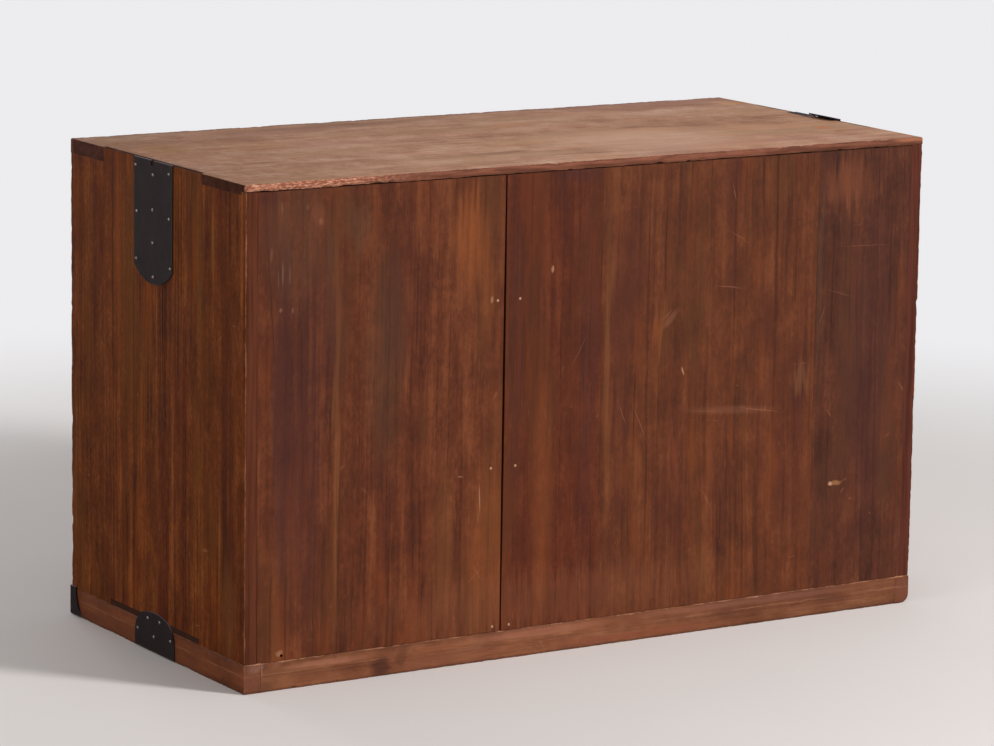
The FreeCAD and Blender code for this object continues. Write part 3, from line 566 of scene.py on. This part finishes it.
TOP_MARKS = [
    (374, 0, 5, 190, 0, (124, 76, 54), 0.55),
    # On the +X arris: wood bared by wear, lightened further as a painted highlight where the arris
    # catches the light, with a whitish painted glint beside the strap.
    (376, 14, 2.5, 30, 0, (150, 138, 146), 0.7),
    (376, 36, 2.5, 5, 0, (206, 186, 170), 0.7),
    (340, -30, 30, 70, 0, (158, 104, 72), 0.4),
    (0, -166, 380, 6, 0, (140, 92, 66), 0.4),
    (60, 98, 40, 7, 0, (96, 64, 52), 0.5),
    (-164, -4, 17, 4, 0, (104, 64, 46), 0.55),
    (294, 62, 22, 6, 0, (116, 76, 54), 0.5),
    (338, 56, 16, 4, 0, (116, 76, 54), 0.4),
    (-360, -120, 22, 14, 0, (180, 122, 70), 0.6),
    (-330, 84, 14, 14, 0, (186, 118, 84), 0.4),
    (100, -140, 140, 22, 0, (132, 94, 76), 0.45),
    (250, -40, 60, 40, 0, (160, 112, 66), 0.35),
    (-40, 44, 150, 30, 0, (186, 140, 102), 0.3),
    (330, -60, 30, 40, 0, (150, 114, 66), 0.4),
    (-121, 80, 110, 90, 0, (206, 166, 142), 0.5),
    (-352, -124, 14, 22, 0, (226, 178, 142), 0.4),
    (363, -118, 9, 44, 0, (146, 112, 62), 0.35),
    (352, -150, 22, 9, 0, (146, 112, 66), 0.3),
    (-362, -96, 7, 16, 0, (150, 102, 92), 0.4),
    (-336, 78, 9, 10, 0, (196, 116, 78), 0.4),
]
SIDE_MARKS = [
    (120, 400, 3, 80, 0, (134, 80, 34), 0.5),
    (-70, 385, 10, 150, 0, (124, 62, 26), 0.4),
    (-121, 380, 8, 170, 0, (58, 24, 14), 0.4),
    (76, 390, 6, 140, 0, (58, 24, 16), 0.45),
    (101, 352, 6, 20, 0, (60, 38, 20), 0.5),
    (-166, 346, 3, 6, 0, DARK, 0.8),
    (150, 200, 18, 200, 0, (66, 28, 18), 0.4),
    # Near-black: a painted shadow on the wood that shows through the strap's keyhole slot.
    (2.7, 466, 4, 6, 0, (14, 9, 8), 1.0),
    (152, 70, 18, 60, 0, (128, 80, 42), 0.2),
]
RAIL_MARKS = [
    (-370, 15, 12, 16, 0, (124, 76, 56), 0.8),
    (357, 24, 4, 6, 0, (80, 46, 32), 0.5),
    (234, 9, 13, 12, 0, (70, 39, 28), 0.85),
    (366, 24, 10, 6, 0, (142, 104, 88), 0.5),
    (356, 4, 10, 7, 0, (84, 54, 38), 0.5),
    (60, 22, 90, 5, 0, (156, 100, 78), 0.5),
    (-180, 23, 160, 4, 0, (146, 94, 74), 0.4),
    (295, 21, 50, 4, 0, (164, 108, 84), 0.5),
    (212, 14, 8, 10, 0, (82, 46, 32), 0.55),
    (-60, 6, 120, 4, 0, (140, 74, 52), 0.35),
]
RAIL_LINES = [
    (361, 14, 0.6, 13, 0, (62, 34, 25), 0.7),
    (369, 27, 9, 0.7, 0, (184, 132, 104), 0.5),
    (359.5, 20, 0.5, 7, 0, (176, 124, 96), 0.4),
    (326, 1.5, 3, 1.5, 0, (40, 24, 18), 0.6),
]
# The first and second axis of a face, by the axis that it looks along.
PLANES = {"x": (1, 2), "y": (0, 2), "z": (0, 1)}
MARK_DEPTH = 10.0            # metres: a mark isn't bounded through the board
MARK_FADE = (1.15, 0.35)     # where it starts and where it is full, in its half sizes


def marked(paint, tone, marks, face, ragged, level=None):
    """The tone with each mark laid over it, on the faces that look along one axis.

    ragged is the place that the marks are measured at, and level, where it is given, is
    how much of them shows.
    """
    for first, second, half_first, half_second, lean, colour, strength in marks:
        node = paint.tree.nodes.new("ShaderNodeMapping")
        node.vector_type = "TEXTURE"
        place, size, turn = [0.0] * 3, [MARK_DEPTH] * 3, [0.0] * 3
        across, along = PLANES[face]
        place[across], place[along] = first * MM, second * MM
        size[across], size[along] = half_first * MM, half_second * MM
        turn["xyz".index(face)] = math.radians(lean)
        paint.feed(node.inputs["Vector"], ragged)
        node.inputs["Location"].default_value = place
        node.inputs["Rotation"].default_value = turn
        node.inputs["Scale"].default_value = size
        length = paint.tree.nodes.new("ShaderNodeVectorMath")
        length.operation = "LENGTH"
        paint.feed(length.inputs[0], node.outputs[0])
        shape = paint.step(length.outputs["Value"], *MARK_FADE)
        share = paint.math("MULTIPLY", shape, strength)
        if level is not None:
            share = paint.math("MULTIPLY", share, level, clamp=True)
        tone = paint.mix(share, tone, linear(*colour))
    return tone


def feathered(paint, grain, across, along):
    """The place, shaken so that a mark's outline feathers out along the grain."""
    node = paint.tree.nodes.new("ShaderNodeTexNoise")
    node.inputs["Scale"].default_value = 1.0
    node.inputs["Detail"].default_value = 3.0
    paint.feed(node.inputs["Vector"], grain.stretch(260, 12))
    shake = [across * MM] * 3
    shake[grain.axis] = along * MM
    centred = paint.vector("SUBTRACT", node.outputs["Color"], (0.5, 0.5, 0.5))
    shaken = paint.vector("MULTIPLY", centred, tuple(shake))
    return paint.vector("ADD", paint.place, shaken)


def facing_share(paint, axis, sign):
    """1 on the faces that look along an axis, or against it where sign is -1."""
    facing = paint.split(paint.facing)["xyz".index(axis)]
    return paint.step(paint.math("MULTIPLY", facing, sign), 0.5, 0.8)


def patchiness(paint, grain):
    """How much of a soft mark shows: more in some streaks of the grain than in others."""
    return paint.math("MULTIPLY_ADD", grain.noise(170, 7), 1.6, 0.2)


def finish_back(paint, grain, tone):
    """Streaks, rubbed patches and scratches on a back board, with painted floor bounce that makes
    it darker towards the top.
    """
    soft = feathered(paint, grain, 14, 80)
    patchy = patchiness(paint, grain)
    height = paint.split(paint.place)[2]
    # Painted light: the lower part of the board is lightened as if by light bounced off the floor,
    # so it is darker towards the top.
    tone = paint.shade(tone, 1.1, 0.9, paint.step(height, 0.0, 0.47))
    tone = marked(paint, tone, BACK_PATCHES, "y", soft, patchy)
    return marked(paint, tone, BACK_SCRATCHES, "y", feathered(paint, grain, 2, 3))


def finish_side(paint, grain, tone):
    """Streaks on the outer face. The edge that shows at the back is stained like the back."""
    soft = feathered(paint, grain, 12, 80)
    patchy = patchiness(paint, grain)
    tone = marked(paint, tone, SIDE_MARKS, "x", soft, patchy)
    return finish_side_edge(paint, grain, tone)


def finish_side_edge(paint, grain, tone):
    """Stain on a side board's front and back edges, and a rubbed line down their arris."""
    x, _, height = paint.split(paint.place)
    ragged = paint.noise(paint.place, scale=70, detail=4.0, rough=0.7)
    bare = paint.mix(paint.step(x, 0.1, -0.1), linear(*EDGE_STAIN_RIGHT), linear(*EDGE_STAIN_LEFT))
    uneven = paint.step(grain.noise(240, 7, detail=4.0, rough=0.65), 0.36, 0.64)
    stained = paint.shade(bare, 0.74, 1.28, uneven)
    outer_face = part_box("side_board_right")[1][0]
    outward = paint.math("SUBTRACT", outer_face, paint.math("ABSOLUTE", x))
    arris = paint.step(paint.math("MULTIPLY_ADD", ragged, -0.004, outward), -0.0008, -0.0014)
    broken = paint.step(paint.noise(paint.place, scale=16, detail=4.0, rough=0.7), 0.42, 0.6)
    share = paint.math("MULTIPLY_ADD", broken, 0.45, 0.2)
    share = paint.math("MULTIPLY_ADD", paint.step(height, 0.22, 0.44), 0.35, share, clamp=True)
    stained = paint.mix(paint.math("MULTIPLY", arris, share), stained, linear(*ARRIS_TONE))
    edges = paint.math("MAXIMUM", facing_share(paint, "y", 1), facing_share(paint, "y", -1))
    return paint.mix(edges, tone, stained)


def fingered(paint, grain, tone, y):
    """Dark, unevenly grimy end grain where the top's fingers show at a side."""
    finger = paint.mix(paint.step(y, -0.05, 0.05), linear(*FINGER_FRONT), linear(*FINGER_BACK))
    grimy = paint.step(paint.noise(paint.place, scale=42, detail=3.0, rough=0.6), 0.4, 0.62)
    finger = paint.shade(finger, 1.25, 0.72, grimy)
    return paint.mix(paint.math("MULTIPLY", grain.ends(), 0.72), tone, finger)


def handled(paint, grain, tone, ragged, from_front):
    """The top's front, stained, with a line rubbed along it by hands."""
    uneven = paint.step(grain.noise(200, 9), 0.35, 0.65)
    aged = paint.shade(linear(*TOP_FRONT), 0.7, 1.3, uneven)
    tone = paint.mix(paint.math("MULTIPLY", facing_share(paint, "y", -1), 0.9), tone, aged)
    from_front = paint.math("MULTIPLY_ADD", ragged, 0.004, from_front)
    share = paint.math("MULTIPLY", paint.step(from_front, 0.009, 0.006), 0.6)
    return paint.mix(share, tone, linear(*TOP_HANDLED))


def lip_tone(paint, grain, ragged, x, sunk):
    """The top's back lip: broken and granular at one end, rubbed smooth along the rest, and
    paler towards its upper edge. sunk is how far a point lies below that edge.
    """
    stretched = paint.vector("MULTIPLY", paint.place, (210, 720, 720))
    chips = paint.noise(stretched, detail=4.0, rough=0.68)
    granular = paint.ramp(chips, [(position, linear(*tone)) for position, tone in LIP_CHIPS])
    uneven = paint.step(grain.noise(320, 26, detail=3.0), 0.35, 0.65)
    smooth = paint.shade(linear(*LIP_SMOOTH), 0.75, 1.3, uneven)
    smooth = paint.shade(smooth, 1.0, 0.8, paint.step(x, -0.14, -0.28))
    sunk = paint.math("MULTIPLY_ADD", ragged, 0.003, sunk)
    corner = paint.math("MULTIPLY", paint.step(x, -0.335, -0.36), paint.step(sunk, 0.006, 0.004))
    smooth = paint.mix(paint.math("MULTIPLY", corner, 0.75), smooth, linear(*LIP_CORNER))
    raw = paint.mix(paint.step(x, 0.17, 0.3), smooth, granular)
    return paint.shade(raw, 1.3, 0.84, paint.step(sunk, 0.002, 0.008))


def finish_top(paint, grain, tone):
    """Stains and dirt on the top, its dark fingers, its handled front and its chipped lip."""
    tone = marked(paint, tone, TOP_MARKS, "z", feathered(paint, grain, 16, 60))
    low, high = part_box("top_board")
    x, y, z = paint.split(paint.place)
    tone = paint.shade(tone, 1.0, 0.87, paint.step(x, 0.16, 0.34))
    tone = paint.shade(tone, 1.0, 0.9, paint.step(y, -0.04, -0.14))
    dirt = paint.step(paint.noise(paint.place, scale=75, detail=5.0, rough=0.7), 0.46, 0.62)
    dirt = paint.math("MULTIPLY", dirt, paint.step(x, 0.1, 0.34))
    tone = paint.mix(paint.math("MULTIPLY", dirt, 0.35), tone, linear(*TOP_DIRT))
    tone = fingered(paint, grain, tone, y)
    ragged = paint.noise(paint.place, scale=260, detail=3.0, rough=0.65)
    tone = handled(paint, grain, tone, ragged, paint.math("SUBTRACT", y, low[1]))
    from_back = paint.math("MULTIPLY_ADD", ragged, -0.006, paint.math("SUBTRACT", high[1], y))
    raw = lip_tone(paint, grain, ragged, x, paint.math("SUBTRACT", high[2], z))
    return paint.mix(paint.step(from_back, 0.0006, -0.0016), tone, raw)


HIGHLIGHT_LINES = ((0.0165, 0.25), (0.0275, 0.35))      # height above the floor and strength of each painted highlight line


def crest_and_highlights(paint, tone, ragged, height, on_back):
    """The back rail's pale, broken crest, and two faint painted highlight lines running round the
    base.
    """
    patchy = paint.step(paint.noise(paint.place, scale=24, detail=3.0), 0.42, 0.6)
    above = paint.math("MULTIPLY_ADD", ragged, 0.003, height)
    broken = paint.step(paint.noise(paint.place, scale=38, detail=5.0, rough=0.7), 0.44, 0.56)
    crest = paint.math("MULTIPLY", paint.step(above, 0.0279, 0.0285), on_back)
    crest = paint.math("MULTIPLY", crest, broken)
    tone = paint.mix(paint.math("MULTIPLY", crest, 0.7), tone, linear(*CREST_TONE))
    # Painted highlights: two pale lines along the rails' faces, lightened as if they caught the
    # light.
    for level, share in HIGHLIGHT_LINES:
        off_line = paint.math("SUBTRACT", paint.math("SUBTRACT", above, level), 0.0015)
        highlight = paint.step(paint.math("ABSOLUTE", off_line), 0.0007, 0.0002)
        highlight = paint.math("MULTIPLY", paint.math("MULTIPLY", highlight, patchy), share)
        tone = paint.mix(highlight, tone, linear(*HIGHLIGHT_LINE_TONE))
    return tone


def finish_base(paint, grain, tone):
    """Marks, stain and painted highlight lines on the base rails, and a painted contact shadow at
    their foot.
    """
    x, _, height = paint.split(paint.place)
    ragged = paint.noise(paint.place, scale=90, detail=3.0)
    on_back = facing_share(paint, "y", 1)
    tone = marked(paint, tone, RAIL_MARKS, "y", feathered(paint, grain, 6, 12), on_back)
    tone = marked(paint, tone, RAIL_LINES, "y", feathered(paint, grain, 0.8, 1.5), on_back)
    stain = paint.step(paint.math("MULTIPLY_ADD", ragged, 0.02, height), 0.028, 0.04)
    stain = paint.math("MULTIPLY", stain, paint.step(x, -0.1, 0.2))
    tone = paint.shade(tone, 1.0, 0.72, stain)
    # The back rail is darker towards its -X end.
    darker_end = paint.math("MULTIPLY", paint.step(x, 0.02, -0.24), on_back)
    tone = paint.shade(tone, 1.0, 0.75, darker_end)
    tone = crest_and_highlights(paint, tone, ragged, height, on_back)
    # A painted contact shadow: the lowest few millimetres of each rail are darkened where they
    # meet the floor.
    foot_shadow = paint.step(paint.math("MULTIPLY_ADD", ragged, -0.003, height), 0.0012, -0.0004)
    return paint.mix(paint.math("MULTIPLY", foot_shadow, 0.5), tone, linear(*FOOT_SHADOW_TONE))


# ---------------------------------------------------------------- metal and pegs
NAIL_TONE, NAIL_WORN = (96, 90, 86), (150, 140, 132)
FORGED_TONE, FORGED_WORN = (44, 38, 37), (88, 80, 76)
PLATE_TONE, PLATE_WORN = (36, 28, 29), (70, 60, 57)
PLATE_GLOSS = 0.04
RUST_TONE, UPPER_FACE_HIGHLIGHT = (66, 42, 32), (128, 116, 126)
BAMBOO_TONE = (166, 124, 92)


def iron(name, tone, worn, roughness, metallic=0.3, specular=0.2, box=None):
    """Blackened iron with a little rust. With a box, its edges are rubbed and, on the +X
    side of the chest, its upward faces carry a painted highlight.
    """
    paint = Paint(name, roughness, specular, metallic)
    cloud = paint.noise(paint.place, scale=34, detail=4.0, rough=0.6)
    grit = paint.noise(paint.place, scale=900, detail=3.0, rough=0.6)
    colour = paint.shade(linear(*tone), 0.7, 1.3, cloud)
    rust = paint.step(paint.noise(paint.place, scale=120, detail=5.0, rough=0.75), 0.58, 0.72)
    colour = paint.mix(paint.math("MULTIPLY", rust, 0.35), colour, linear(*RUST_TONE))
    if box:
        edge = paint.step(edge_distance(paint, box), 0.0014, 0.0)
        colour = paint.mix(paint.math("MULTIPLY", edge, 0.5), colour, linear(*worn))
        # Painted highlight: the upward faces of the ironwork on the +X side are lightened as if
        # they caught the light.
        right = paint.step(paint.split(paint.place)[0], 0.1, 0.2)
        upward = paint.math("MULTIPLY", facing_share(paint, "z", 1), right)
        highlight_share = paint.math("MULTIPLY", upward, 0.8)
        colour = paint.mix(highlight_share, colour, linear(*UPPER_FACE_HIGHLIGHT))
    paint.colour(colour)
    paint.roughness(paint.math("MULTIPLY_ADD", grit, 0.25, roughness - 0.12))
    paint.bump(paint.math("MULTIPLY_ADD", cloud, 2.5, grit), 0.00025)
    return paint.material


def bamboo(name):
    paint = Paint(name, 0.5, 0.3)
    fibre = paint.noise(paint.vector("MULTIPLY", paint.place, (2600, 60, 2600)), detail=2.0)
    paint.colour(paint.shade(linear(*BAMBOO_TONE), 0.7, 1.2, fibre))
    paint.bump(fibre, 0.0001)
    return paint.material


def give(node, material):
    """The material goes in every slot of a CAD node's mesh."""
    slots = node.data.materials
    if not slots:
        slots.append(material)
    for index in range(len(slots)):
        slots[index] = material


# ---------------------------------------------------------------- the chest
ALL_ROUND = ("+x", "-x", "+z", "-z")     # a back board's edges all lie in a joint
BOARDS = {
    "top_board": Board(TOP, "x", finish_top, (0.865, 0.91, 1.06), buried=("-z",)),
    "bottom_board": Board(SIDE, "x", buried=ALL_ROUND),
    "side_board_right": Board(SIDE, "z", finish_side, (0.82, 0.785, 0.605), 1.25, ("+z", "-z")),
    "side_board_left": Board(SIDE, "z", finish_side_edge, buried=("+z", "-z")),
    "back_board_right": Board(BACK, "z", finish_back, (0.815, 0.73, 0.62), 1.4, ALL_ROUND),
    "back_board_next": Board(BACK, "z", finish_back, (0.7, 0.545, 0.47), 1.15, ALL_ROUND),
    "back_board_wide": Board(BACK, "z", finish_back, (0.805, 0.77, 0.63), 1.15, ALL_ROUND),
    "back_board_left": Board(BACK, "z", finish_back, (0.595, 0.6, 0.645), 1.3, ALL_ROUND),
    "base_rail_right": Board(BASE, "y", finish_base, (0.89, 0.76, 0.49), buried=("+z", "-x")),
    "base_rail_left": Board(BASE, "y", finish_base, (0.89, 0.76, 0.49), buried=("+z", "+x")),
    "base_rail_back": Board(BASE, "x", finish_base, (1.05, 1.12, 1.08), buried=("+x", "-x")),
    "base_rail_front": Board(BASE, "x", finish_base, buried=("+z", "+x", "-x")),
    "lower_front_rail": Board(FRONT, "x"),
    "upper_front_rail": Board(FRONT, "x"),
    "centre_divider": Board(FRONT, "z"),
    "lower_shelf": Board(INNER, "x"),
    "upper_shelf": Board(INNER, "x"),
    "drawer_stops": Board(INNER, "x"),
}
DRAWERS = ["upper_left_drawer", "upper_right_drawer", "middle_drawer", "bottom_drawer"]
DRAWER_BOARDS = {
    "front": Board(FRONT, "x"),
    "left_side": Board(INNER, "y"),
    "right_side": Board(INNER, "y"),
    "back": Board(INNER, "x"),
    "bottom": Board(INNER, "x"),
}


def dress(frame):
    """Gives every CAD node its material."""
    nodes = frame["nodes"]
    boards = dict(BOARDS)
    for drawer in DRAWERS:
        for part, board in DRAWER_BOARDS.items():
            boards[f"{drawer}_{part}"] = board
    for seed, (name, board) in enumerate(boards.items(), start=1):
        give(nodes[name], wood(name, board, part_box(name), seed))
    peg = bamboo("bamboo")
    nail = iron("nail_heads", NAIL_TONE, NAIL_WORN, roughness=0.26, metallic=1.0)
    forged = iron("forged_iron", FORGED_TONE, FORGED_WORN, roughness=0.5)
    for name, node in nodes.items():
        if name in boards:
            continue
        if name == "back_pegs":
            give(node, peg)
        elif name == "iron_nails":
            give(node, nail)
        elif name.startswith(("side_strap", "base_plate", "corner_iron")):
            give(node, iron(name, PLATE_TONE, PLATE_WORN, roughness=0.6, metallic=0.0,
                            specular=PLATE_GLOSS, box=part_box(name)))
        else:
            give(node, forged)


# ---------------------------------------------------------------- worn edges
class Wear:
    """How one board is worn: its long axis, the pairs of faces whose edges are rubbed, the
    depth and the spacing of the wear in millimetres, and the board's slot, which is not used.
    """

    def __init__(self, along, edges, depth, spacing, slot):
        self.along, self.edges, self.slot = along, edges, slot
        self.depth, self.spacing = depth * MM, spacing * MM


WORN_EDGES = {
    "top_board": Wear("x", (("+y", "+z"), ("+y", "-z"), ("-y", "+z")), 1.1, 2.5, "top_wood"),
    "side_board_right": Wear("z", (("+x", "+y"), ("+x", "-y")), 0.8, 4.0, "side_wood"),
    "side_board_left": Wear("z", (("-x", "+y"), ("-x", "-y")), 1.1, 4.0, "side_wood"),
    "base_rail_back": Wear("x", (("+y", "+z"), ("+y", "-z")), 0.9, 3.5, "base_wood"),
    "base_rail_right": Wear("y", (("+x", "+z"), ("+x", "-z")), 0.7, 3.5, "base_wood"),
    "base_rail_left": Wear("y", (("-x", "+z"), ("-x", "-z")), 0.7, 3.5, "base_wood"),
    "base_rail_front": Wear("x", (("-y", "+z"), ("-y", "-z")), 0.7, 3.5, "base_wood"),
}
WORN_REACH = 0.004           # how far from the edge the wear still shows
LIP_THICK = 0.007            # the thickness of the top's back lip
SMOOTH_ANGLE = 38            # degrees: a sharper edge than this stays an edge
MERGE_REACH = 1e-6           # metres
SEED_STEP = 1.7              # from one board's wear to the next one's


def roughness_of(place, seed):
    """From 0 to 1: how much is worn off at a place on an edge."""
    shifted = place + Vector((seed, 2 * seed, 3 * seed))
    slow = noise.noise(shifted * 45)
    quick = noise.noise(shifted * 210)
    chip = max(0.0, noise.noise(shifted * 90) - 0.35) * 2.5
    return min(1.0, max(0.0, 0.25 + 0.45 * slow + 0.4 * quick + chip))


def wear_of(place, box, edges, seed):
    """The step, for a depth of 1, that takes a point near a worn edge into the wood."""
    low, high = box
    step = Vector((0, 0, 0))
    for edge in edges:
        inward = Vector((0, 0, 0))
        share = 1.0
        for face in edge:
            axis = "xyz".index(face[1])
            if face[0] == "+":
                gap = high[axis] - place[axis]
                inward[axis] = -1
            else:
                gap = place[axis] - low[axis]
                inward[axis] = 1
            share *= min(1.0, max(0.0, 1 - gap / WORN_REACH))
        if share:
            step += inward * (share * roughness_of(place, seed))
    return step


def slice_along(work, low, high, axis, spacing):
    """Cuts a mesh across its length, so that its long edges can wander."""
    normal = Vector((0, 0, 0))
    normal[axis] = 1
    cuts = int((high[axis] - low[axis]) / spacing)
    for index in range(1, cuts):
        point = low.copy()
        point[axis] += (high[axis] - low[axis]) * index / cuts
        everything = work.verts[:] + work.edges[:] + work.faces[:]
        bmesh.ops.bisect_plane(work, geom=everything, plane_co=point, plane_no=normal)


def weathered(frame, name, seed):
    """A copy of a board with chipped and rubbed edges, which stands in for it."""
    wear = WORN_EDGES[name]
    low, high = (Vector(corner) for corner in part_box(name))
    mesh = frame["nodes"][name].data.copy()
    mesh.name = name + "_worn"
    work = bmesh.new()
    work.from_mesh(mesh)
    bmesh.ops.remove_doubles(work, verts=work.verts, dist=MERGE_REACH)
    slice_along(work, low, high, "xyz".index(wear.along), wear.spacing)
    if name == "top_board":
        low.z = high.z - LIP_THICK
    for vert in work.verts:
        vert.co += wear_of(vert.co.copy(), (low, high), wear.edges, seed) * wear.depth
    work.to_mesh(mesh)
    work.free()
    if "custom_normal" in mesh.attributes:
        mesh.attributes.remove(mesh.attributes["custom_normal"])
    mesh.shade_smooth()
    mesh.set_sharp_from_angle(angle=math.radians(SMOOTH_ANGLE))
    piece = bpy.data.objects.new(name + "_worn", mesh)
    bpy.context.scene.collection.objects.link(piece)
    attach(piece, "carcass")
    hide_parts(name)


# ---------------------------------------------------------------- the studio
def add_camera():
    data = bpy.data.cameras.new("camera")
    data.sensor_width = SENSOR
    data.lens = FOCAL_PIXELS * SENSOR / IMAGE_WIDTH
    data.clip_end = FAR_CLIP
    camera = bpy.data.objects.new("camera", data)
    camera.location = CAMERA_PLACE
    camera.rotation_euler = Euler([math.radians(angle) for angle in CAMERA_TURN])
    bpy.context.scene.collection.objects.link(camera)
    bpy.context.scene.camera = camera


def add_lamps():
    for name, (direction, height, distance, size, level) in LAMPS.items():
        data = bpy.data.lights.new(name, "AREA")
        data.shape = "DISK"
        data.size = size
        data.energy = level * math.pi ** 2 * distance ** 2
        lamp = bpy.data.objects.new(name, data)
        flat = math.cos(math.radians(height))
        away = Vector((
            flat * math.cos(math.radians(direction)),
            flat * math.sin(math.radians(direction)),
            math.sin(math.radians(height)),
        ))
        lamp.location = LIGHT_AIM + away * distance
        lamp.rotation_euler = away.to_track_quat("Z", "Y").to_euler()
        bpy.context.scene.collection.objects.link(lamp)


def showing_rays(tree):
    """1 for the rays that show the background: the camera's, and those off gloss or glass."""
    path = tree.nodes.new("ShaderNodeLightPath")
    share = path.outputs["Is Camera Ray"]
    for name in ("Is Glossy Ray", "Is Transmission Ray"):
        larger = tree.nodes.new("ShaderNodeMath")
        larger.operation = "MAXIMUM"
        tree.links.new(share, larger.inputs[0])
        tree.links.new(path.outputs[name], larger.inputs[1])
        share = larger.outputs[0]
    return share


def add_world():
    """A pale room: it lights the chest softly, and looks white itself."""
    world = bpy.data.worlds.new("room")
    world.use_nodes = True
    tree = world.node_tree
    tree.nodes.clear()
    output = tree.nodes.new("ShaderNodeOutputWorld")
    background = tree.nodes.new("ShaderNodeBackground")
    strength = tree.nodes.new("ShaderNodeMapRange")
    strength.inputs["To Min"].default_value = WORLD_LEVEL
    strength.inputs["To Max"].default_value = WORLD_SHOWN
    tree.links.new(showing_rays(tree), strength.inputs["Value"])
    tree.links.new(strength.outputs["Result"], background.inputs["Strength"])
    background.inputs["Color"].default_value = WORLD_TONE
    tree.links.new(background.outputs[0], output.inputs["Surface"])
    bpy.context.scene.world = world


def add_floor():
    """A wide pale floor. Far behind the chest the camera sees it as a plain pale backdrop."""
    mesh = bpy.data.meshes.new("floor")
    work = bmesh.new()
    bmesh.ops.create_circle(work, cap_ends=True, segments=96, radius=FLOOR_RADIUS)
    work.to_mesh(mesh)
    work.free()
    floor = bpy.data.objects.new("floor", mesh)
    bpy.context.scene.collection.objects.link(floor)
    paint = Paint("floor", 0.7, 0.2)
    node = paint.tree.nodes.new("ShaderNodeVectorMath")
    node.operation = "LENGTH"
    paint.feed(node.inputs[0], paint.place)
    cloud = paint.noise(paint.place, scale=3.0, detail=4.0)
    paint.colour(paint.shade(linear(*FLOOR_TONE), 0.97, 1.03, cloud))
    far = paint.step(node.outputs["Value"], FLOOR_FADE_START, FLOOR_FADE_END)
    glow = paint.math("MULTIPLY", far, showing_rays(paint.tree))
    backdrop = paint.tree.nodes.new("ShaderNodeEmission")
    backdrop.inputs["Color"].default_value = linear(*BACKDROP_TONE)
    blend = paint.tree.nodes.new("ShaderNodeMixShader")
    output = next(n for n in paint.tree.nodes if n.type == "OUTPUT_MATERIAL")
    paint.feed(blend.inputs[0], glow)
    paint.feed(blend.inputs[1], paint.surface.outputs[0])
    paint.feed(blend.inputs[2], backdrop.outputs[0])
    paint.feed(output.inputs["Surface"], blend.outputs[0])
    mesh.materials.append(paint.material)


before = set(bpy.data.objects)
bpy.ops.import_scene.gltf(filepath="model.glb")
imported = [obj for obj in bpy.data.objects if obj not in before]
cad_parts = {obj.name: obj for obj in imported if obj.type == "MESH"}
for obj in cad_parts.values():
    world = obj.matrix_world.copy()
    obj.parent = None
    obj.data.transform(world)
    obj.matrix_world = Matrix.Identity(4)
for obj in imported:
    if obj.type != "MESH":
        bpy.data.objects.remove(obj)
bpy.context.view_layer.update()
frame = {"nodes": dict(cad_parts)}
dress(frame)
for number, board_name in enumerate(WORN_EDGES, start=1):
    weathered(frame, board_name, number * SEED_STEP)
add_floor()
add_lamps()
add_world()
add_camera()
bpy.context.scene.view_settings.view_transform = "Standard"
